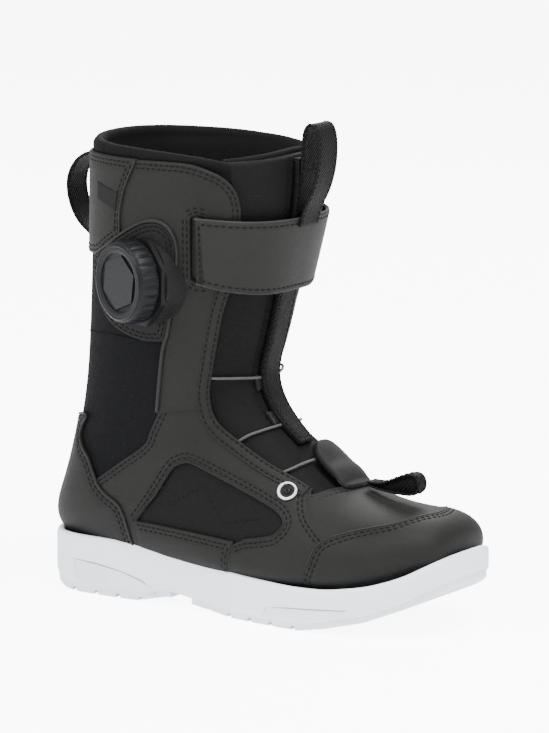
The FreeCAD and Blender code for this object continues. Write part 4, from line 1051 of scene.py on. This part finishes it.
# ---------------- dial knob: turned nylon with a soft fluted rim and a hexagonal cap
# The lace winds on a spool under it. It is pulled out to let the lace go.
DIAL_GRIP = moulded("dial_grip", (0.0032, 0.0036, 0.0045), (0.0075, 0.0083, 0.0102), 1800.0, rough=(0.38, 0.52),
                    wear=0.35)
DIAL_BLACK = moulded("dial_black", (0.003, 0.003, 0.0033), (0.0078, 0.0078, 0.0084), 1300.0, rough=(0.4, 0.55))
DIAL_CAP = moulded("dial_cap", (0.0036, 0.0041, 0.0052), (0.0066, 0.0074, 0.0092), 1200.0, rough=(0.28, 0.42))
DIAL_SEAT = Vector(placed(83, -52.5, 192))
DIAL_TILT = math.radians(20.5)
DIAL_TURN = Matrix(((math.cos(DIAL_TILT), 0, -math.sin(DIAL_TILT)),
                    (-math.sin(DIAL_TILT), 0, -math.cos(DIAL_TILT)), (0, 1, 0)))
KNOB_PROFILE = [(20.2, 3.6), (23.6, 3.6), (24.1, 4.2), (24.3, 6.0), (24.2, 9.5), (23.9, 12.2), (23.3, 14.2),
                (22.4, 15.4), (21.2, 16.0), (19.2, 16.1), (17.8, 15.95), (17.1, 15.5), (16.9, 14.7),
                (16.2, 14.45), (9.0, 14.4), (0.0, 14.4), (0.0, 12.6), (20.2, 12.6)]
GRIPS, KNOB_STEPS, GRIP_DEEP = 24, 240, 0.75


def lathe_turned(name, profile, steps, fluted=None):
    """A piece turned round the dial's axis from (radius, height) points, in millimetres over its seat."""
    places, faces = [], []
    for radius, height in profile:
        for k in range(steps):
            angle = 2 * math.pi * k / steps
            at = radius - (fluted(angle, radius, height) if fluted else 0.0)
            places.append(DIAL_SEAT + DIAL_TURN @ (Vector((at * math.cos(angle), at * math.sin(angle),
                                                           height)) * MM))
    for i in range(len(profile)):
        below, above = i * steps, (i + 1) % len(profile) * steps
        faces += [(below + k, below + (k + 1) % steps, above + (k + 1) % steps,
                   above + k) for k in range(steps)]
    piece = mesh_object(name, places, faces)
    work = bmesh.new()
    work.from_mesh(piece.data)
    bmesh.ops.remove_doubles(work, verts=work.verts, dist=1e-6)
    bmesh.ops.recalc_face_normals(work, faces=work.faces)
    work.to_mesh(piece.data)
    work.free()
    return piece


def grip_flute(angle, radius, height):
    """Shallow finger flutes that fade out over the knob's rounded edge."""
    if radius < 22 or height < 3.7:
        return 0.0
    fade = min(1.0, max(0.0, (15.2 - height) / 4.0))
    return GRIP_DEEP * fade * max(0.0, math.cos(GRIPS * angle)) ** 2


knob = lathe_turned("dial_knob", KNOB_PROFILE, KNOB_STEPS, grip_flute)
knob.data.set_sharp_from_angle(angle=math.radians(38))
dressed(knob, DIAL_GRIP, "dial_knob", "dial_grip", "dial_knob")
rim_ring = lathe_turned("dial_rim", [(22.0, 15.55), (21.6, 16.1), (20.9, 16.3), (20.2, 16.1), (20.0, 15.6)], 96)
dressed(rim_ring, DIAL_CAP, "dial_knob", "dial_cap")

# ---------------- midsole: a moulded foam cup with a rounded lip, a waist and a foot edge
# White foam. The rubber pads are under it, and a grey insert is let into each side at the heel and at the ball.
FOAM_WHITE = moulded("midsole_foam", (0.78, 0.82, 0.88), (0.86, 0.89, 0.93), 900.0, rough=(0.5, 0.66),
                     bump=0.12, wear=0.3)
RUBBER_WHITE = moulded("outsole_rubber", (0.70, 0.74, 0.79), (0.80, 0.83, 0.87), 1400.0, rough=(0.4, 0.55),
                       bump=0.15)
INSERT_GREY = moulded("sole_insert", (0.68, 0.74, 0.82), (0.78, 0.83, 0.89), 500.0, rough=(0.35, 0.5), bump=0.5)
SOLE_PLAN = [(-6, 0), (-3, -14), (4, -26), (14, -33), (30, -36.5), (60, -37.2), (90, -38), (120, -42),
             (150, -47.5), (190, -52), (230, -49), (250, -42), (262, -31), (270, -14), (272.5, 3), (270, 22),
             (262, 36), (250, 44), (230, 49), (190, 48.5), (150, 41), (120, 36), (90, 35), (60, 35.6), (30, 36),
             (14, 33), (4, 26), (-3, 14)]
LIP = [(-10, 34), (60, 34), (90, 32), (120, 28), (150, 25.5), (180, 24.5), (205, 25), (230, 29), (250, 35),
       (262, 41), (270, 46), (276, 49)]
FOOT = [(-10, 19), (-6, 16), (-3, 12), (4, 8), (14, 5), (22, 4), (68, 4), (90, 9), (120, 6), (140, 4), (188, 4),
        (205, 7), (230, 13), (250, 21), (262, 28), (270, 33), (276, 37)]
# share of the wall's height from foot to lip, and how far the wall stands in there
SOLE_WALL = [(-0.03, 2.6), (0.0, 1.5), (0.03, 0.8), (0.08, 0.35), (0.30, 0.3), (0.60, 0.3), (0.85, 0.3),
             (0.92, 0.5), (0.97, 1.1), (1.0, 2.2), (1.0, 4.0), (0.96, 5.2), (0.5, 5.8), (0.15, 6.4)]


def closed_curve(points, count):
    """A smooth closed curve through points, evenly stepped."""
    points = np.array(points, float)
    dense = []
    for i in range(len(points)):
        a, b, c, d = [points[(i + k) % len(points)] for k in (-1, 0, 1, 2)]
        for s in np.linspace(0, 1, 20, endpoint=False):
            dense.append(0.5 * (2 * b + (c - a) * s + (2 * a - 5 * b + 4 * c - d) * s * s
                                + (3 * b - a - 3 * c + d) * s**3))
    dense = np.array([*dense, dense[0]])
    length = np.concatenate([[0], np.cumsum(np.linalg.norm(np.diff(dense, axis=0), axis=1))])
    marks = np.linspace(0, length[-1], count, endpoint=False)
    return np.stack([np.interp(marks, length, dense[:, i]) for i in (0, 1)], axis=1)


def eased(line, x):
    """The height of a side-view line at x, its corners softened."""
    spread = np.array([-6.0, -3.0, 0.0, 3.0, 6.0])
    xs, zs = zip(*line)
    return np.mean([np.interp(x + s, xs, zs) for s in spread], axis=0)


plan = closed_curve(SOLE_PLAN, 360)
direction = np.roll(plan, -1, axis=0) - np.roll(plan, 1, axis=0)
inwards = np.stack([-direction[:, 1], direction[:, 0]], axis=1)
inwards /= np.linalg.norm(inwards, axis=1, keepdims=True)
lip = eased(LIP, plan[:, 0])
rings = []
for share, stand_in in SOLE_WALL:
    ring = plan + inwards * stand_in
    foot = np.interp(ring[:, 0], *zip(*FOOT)) - 0.15
    height = foot + (lip - foot) * share
    rings.append(np.column_stack([ring[:, 0] + HEEL_X, ring[:, 1] + CENTRE_Y, height]) * MM)
steps = len(plan)
faces = [(r * steps + k, r * steps + (k + 1) % steps, (r + 1) * steps + (k + 1) % steps, (r + 1) * steps + k)
         for r in range(len(rings) - 1) for k in range(steps)]
midsole = mesh_object("midsole", np.vstack(rings), faces)
work = bmesh.new()
work.from_mesh(midsole.data)
bmesh.ops.holes_fill(work, edges=[edge for edge in work.edges if edge.is_boundary])
bmesh.ops.triangulate(work, faces=[face for face in work.faces if len(face.verts) > 4])
bmesh.ops.recalc_face_normals(work, faces=work.faces)
work.to_mesh(midsole.data)
work.free()
midsole.data.set_sharp_from_angle(angle=math.radians(50))
dressed(midsole, FOAM_WHITE, "boot", "midsole_foam", "midsole")

# Painted shade: a thin dark line along the edge of each grey insert, standing in for the shadow in the groove
# round it.
INSERT_GROOVE_SHADE = moulded("insert_groove_shade", (0.22, 0.24, 0.30), (0.30, 0.32, 0.38), 900.0)
HEEL_INSERT = [(26, 8.5), (22.6, 19.6), (40, 18.8), (58, 16), (72, 12.4), (82, 6.2)]
BALL_INSERT = [(164, 5.5), (166.5, 10.6), (180, 12.3), (200, 13.8), (220, 15), (225.5, 12.6)]
for side, sign in (("outer", -1), ("inner", 1)):
    wall = plan[np.sign(plan[:, 1]) == sign]
    wall = wall[np.argsort(wall[:, 0])]
    for word, outline in (("heel", HEEL_INSERT), ("ball", BALL_INSERT)):
        line = []
        for (x, z), (next_x, next_z) in zip(outline, outline[1:]):
            for s in np.linspace(0, 1, 8, endpoint=False):
                line.append((x + (next_x - x) * s, z + (next_z - z) * s))
        line = np.array([*line, outline[-1]])
        outside = np.interp(line[:, 0], wall[:, 0], wall[:, 1]) - sign * 0.22
        curve = bpy.data.curves.new("insert_groove_shade", "CURVE")
        curve.dimensions, curve.bevel_depth, curve.bevel_resolution = "3D", 0.28 * MM, 1
        curve.use_fill_caps = True
        spline = curve.splines.new("POLY")
        spline.points.add(len(line) - 1)
        for point, (x, z), y in zip(spline.points, line, outside):
            point.co = (*placed(x, y, z), 1)
        holder = bpy.data.objects.new("insert_groove_shade", curve)
        mesh = bpy.data.meshes.new_from_object(holder)
        bpy.data.objects.remove(holder)
        groove_shade_line = bpy.data.objects.new(f"{word}_insert_groove_shade_{side}", mesh)
        bpy.context.scene.collection.objects.link(groove_shade_line)
        dressed(groove_shade_line, INSERT_GROOVE_SHADE, "boot", "sole_insert")

# ---------------- hard parts carried over: dial body, lace, rubber and what lies inside
# Injection moulded nylon, rubber pads cemented under the foam, a coated steel lace, a steel screw, a nylon
# shank and a fibre lasting board. Their shapes are the moulded ones; each gets its own finish.
CARRIED = {
    "dial_housing": DIAL_BLACK, "dial_cap": DIAL_CAP, "dial_wedge": DIAL_LEATHER,
    "outsole_heel": RUBBER_WHITE, "outsole_forefoot": RUBBER_WHITE,
    "lace": moulded("lace_steel", (0.045, 0.045, 0.045), (0.11, 0.11, 0.11), 3000.0, rough=(0.28, 0.4),
                    bump=0.8, wear=0.1),
    "lace_spool": DIAL_BLACK, "pawl_disc": DIAL_BLACK,
    "dial_screw": moulded("screw_steel", (0.45, 0.45, 0.46), (0.6, 0.6, 0.6), 2000.0, rough=(0.25, 0.35),
                          metal=1.0),
    "shank": moulded("shank_nylon", (0.006, 0.006, 0.006), (0.015, 0.015, 0.015), 700.0),
    "lasting_board": cloth("lasting_board", (0.30, 0.26, 0.20), (0.42, 0.37, 0.29), 1800.0),
    "footbed": cloth("footbed", (0.009, 0.009, 0.0108), (0.0165, 0.0165, 0.0192), 2200.0),
}
for side in SIDES:
    CARRIED[f"heel_insert_{side}"] = CARRIED[f"forefoot_insert_{side}"] = INSERT_GREY
for node, material in CARRIED.items():
    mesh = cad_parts[node].data
    if not mesh.materials:
        mesh.materials.append(material)
    for index in range(len(mesh.materials)):
        mesh.materials[index] = material

# ---------------- stitching: bonded thread, each stitch a short filled loop
# Bonded polyester thread, double rows on the structural seams and single ones on trim. Every stitch that the
# sections above have marked is laid here, one mesh for each moving body.
THREAD = cloth("thread", (0.0018, 0.0018, 0.0018), (0.0042, 0.0042, 0.0042), 9000.0, rough=(0.45, 0.6))
STITCH_LENGTH, STITCH_RADIUS, STITCH_SIDES = 2.5, 0.36, 6
STITCH_PROFILE = ((-1.0, 0.3, -0.3), (-0.72, 1.0, 0.0), (0.72, 1.0, 0.0), (1.0, 0.3, -0.3))


def thread_piece(name, rows):
    """All the stitches of one body as one mesh."""
    centre, ahead, up = [np.concatenate([row[i] for row in rows]) for i in range(3)]
    ahead = ahead / np.linalg.norm(ahead, axis=1, keepdims=True)
    across = np.cross(up, ahead)
    turns = np.arange(STITCH_SIDES) * 2 * math.pi / STITCH_SIDES
    places = []
    for at, wide, sink in STITCH_PROFILE:
        middle = centre + ahead * (at * STITCH_LENGTH / 2 * MM) + up * (sink * MM)
        places.append(middle[:, None] + wide * STITCH_RADIUS * MM * (
            np.cos(turns)[None, :, None] * across[:, None] + np.sin(turns)[None, :, None] * up[:, None]))
    places = np.stack(places, axis=1).reshape(-1, 3)
    rings = len(STITCH_PROFILE)
    single = [(r * STITCH_SIDES + k, r * STITCH_SIDES + (k + 1) % STITCH_SIDES,
               (r + 1) * STITCH_SIDES + (k + 1) % STITCH_SIDES, (r + 1) * STITCH_SIDES + k)
              for r in range(rings - 1) for k in range(STITCH_SIDES)]
    single += [tuple(reversed(range(STITCH_SIDES))),
               tuple(range((rings - 1) * STITCH_SIDES, rings * STITCH_SIDES))]
    faces = [tuple(i + n * rings * STITCH_SIDES for i in f) for n in range(len(centre)) for f in single]
    piece = mesh_object(name, places, faces)
    outward_faces(piece)
    return piece


THREAD_SLOTS = {"boot": "upper_leather", "power_strap": "strap_leather", "tongue": "tongue_textile",
                "toe_loop": "webbing"}
for body, rows in STITCHES.items():
    dressed(thread_piece(f"{body}_stitching", rows), THREAD, body, THREAD_SLOTS[body])

# ---------------- camera, lights and floor
# A long lens a little above the boot's outer front, four soft lamps and a plain pale floor.
AIM = Vector((0.0068, 0.0065, 0.1397))
AZIMUTH, ELEVATION, DISTANCE = math.radians(33), math.radians(10), 2.8
camera_data = bpy.data.cameras.new("camera")
camera_data.lens, camera_data.sensor_width = 239.3, 36.0
camera = bpy.data.objects.new("camera", camera_data)
camera.location = AIM + DISTANCE * Vector((math.cos(ELEVATION) * math.sin(AZIMUTH),
                                           -math.cos(ELEVATION) * math.cos(AZIMUTH), math.sin(ELEVATION)))
camera.rotation_euler = (AIM - camera.location).to_track_quat("-Z", "Y").to_euler()
bpy.context.scene.collection.objects.link(camera)
bpy.context.scene.camera = camera

world = bpy.data.worlds.new("studio")
world.use_nodes = True
world.node_tree.nodes["Background"].inputs["Color"].default_value = (1.0, 1.0, 1.0, 1.0)
world.node_tree.nodes["Background"].inputs["Strength"].default_value = 0.9
bpy.context.scene.world = world


def lamp(name, place, size, power):
    """A soft square studio lamp aimed at the boot."""
    light = bpy.data.lights.new(name, "AREA")
    light.size, light.energy = size, power
    holder = bpy.data.objects.new(name, light)
    holder.location = place
    holder.rotation_euler = (AIM - Vector(place)).to_track_quat("-Z", "Y").to_euler()
    bpy.context.scene.collection.objects.link(holder)


lamp("key", (-0.9, -1.3, 1.4), 1.0, 42)
lamp("overhead", (0.62, -0.18, 1.65), 0.9, 52)
lamp("fill", (1.6, -0.9, 0.9), 1.2, 14)
lamp("rim", (-0.6, 1.5, 1.4), 0.9, 26)

bpy.ops.mesh.primitive_plane_add(size=12.0, location=(0, 0, 0))
floor = bpy.context.object
floor.name = "floor"
paint = bpy.data.materials.new("floor_paint")
paint.use_nodes = True
paint.node_tree.nodes["Principled BSDF"].inputs["Base Color"].default_value = (0.92, 0.92, 0.92, 1)
paint.node_tree.nodes["Principled BSDF"].inputs["Roughness"].default_value = 0.9
paint.node_tree.nodes["Principled BSDF"].inputs["Emission Color"].default_value = (1, 1, 1, 1)
seen = paint.node_tree.nodes.new("ShaderNodeLightPath").outputs["Is Camera Ray"]
FLOOR_SEEN, FLOOR_GLOW = 7.0, 0.6
glow = maths(paint.node_tree, "MULTIPLY_ADD", seen, FLOOR_SEEN, FLOOR_GLOW)
paint.node_tree.links.new(glow, paint.node_tree.nodes["Principled BSDF"].inputs["Emission Strength"])
floor.data.materials.append(paint)
bpy.ops.object.select_all(action="DESELECT")
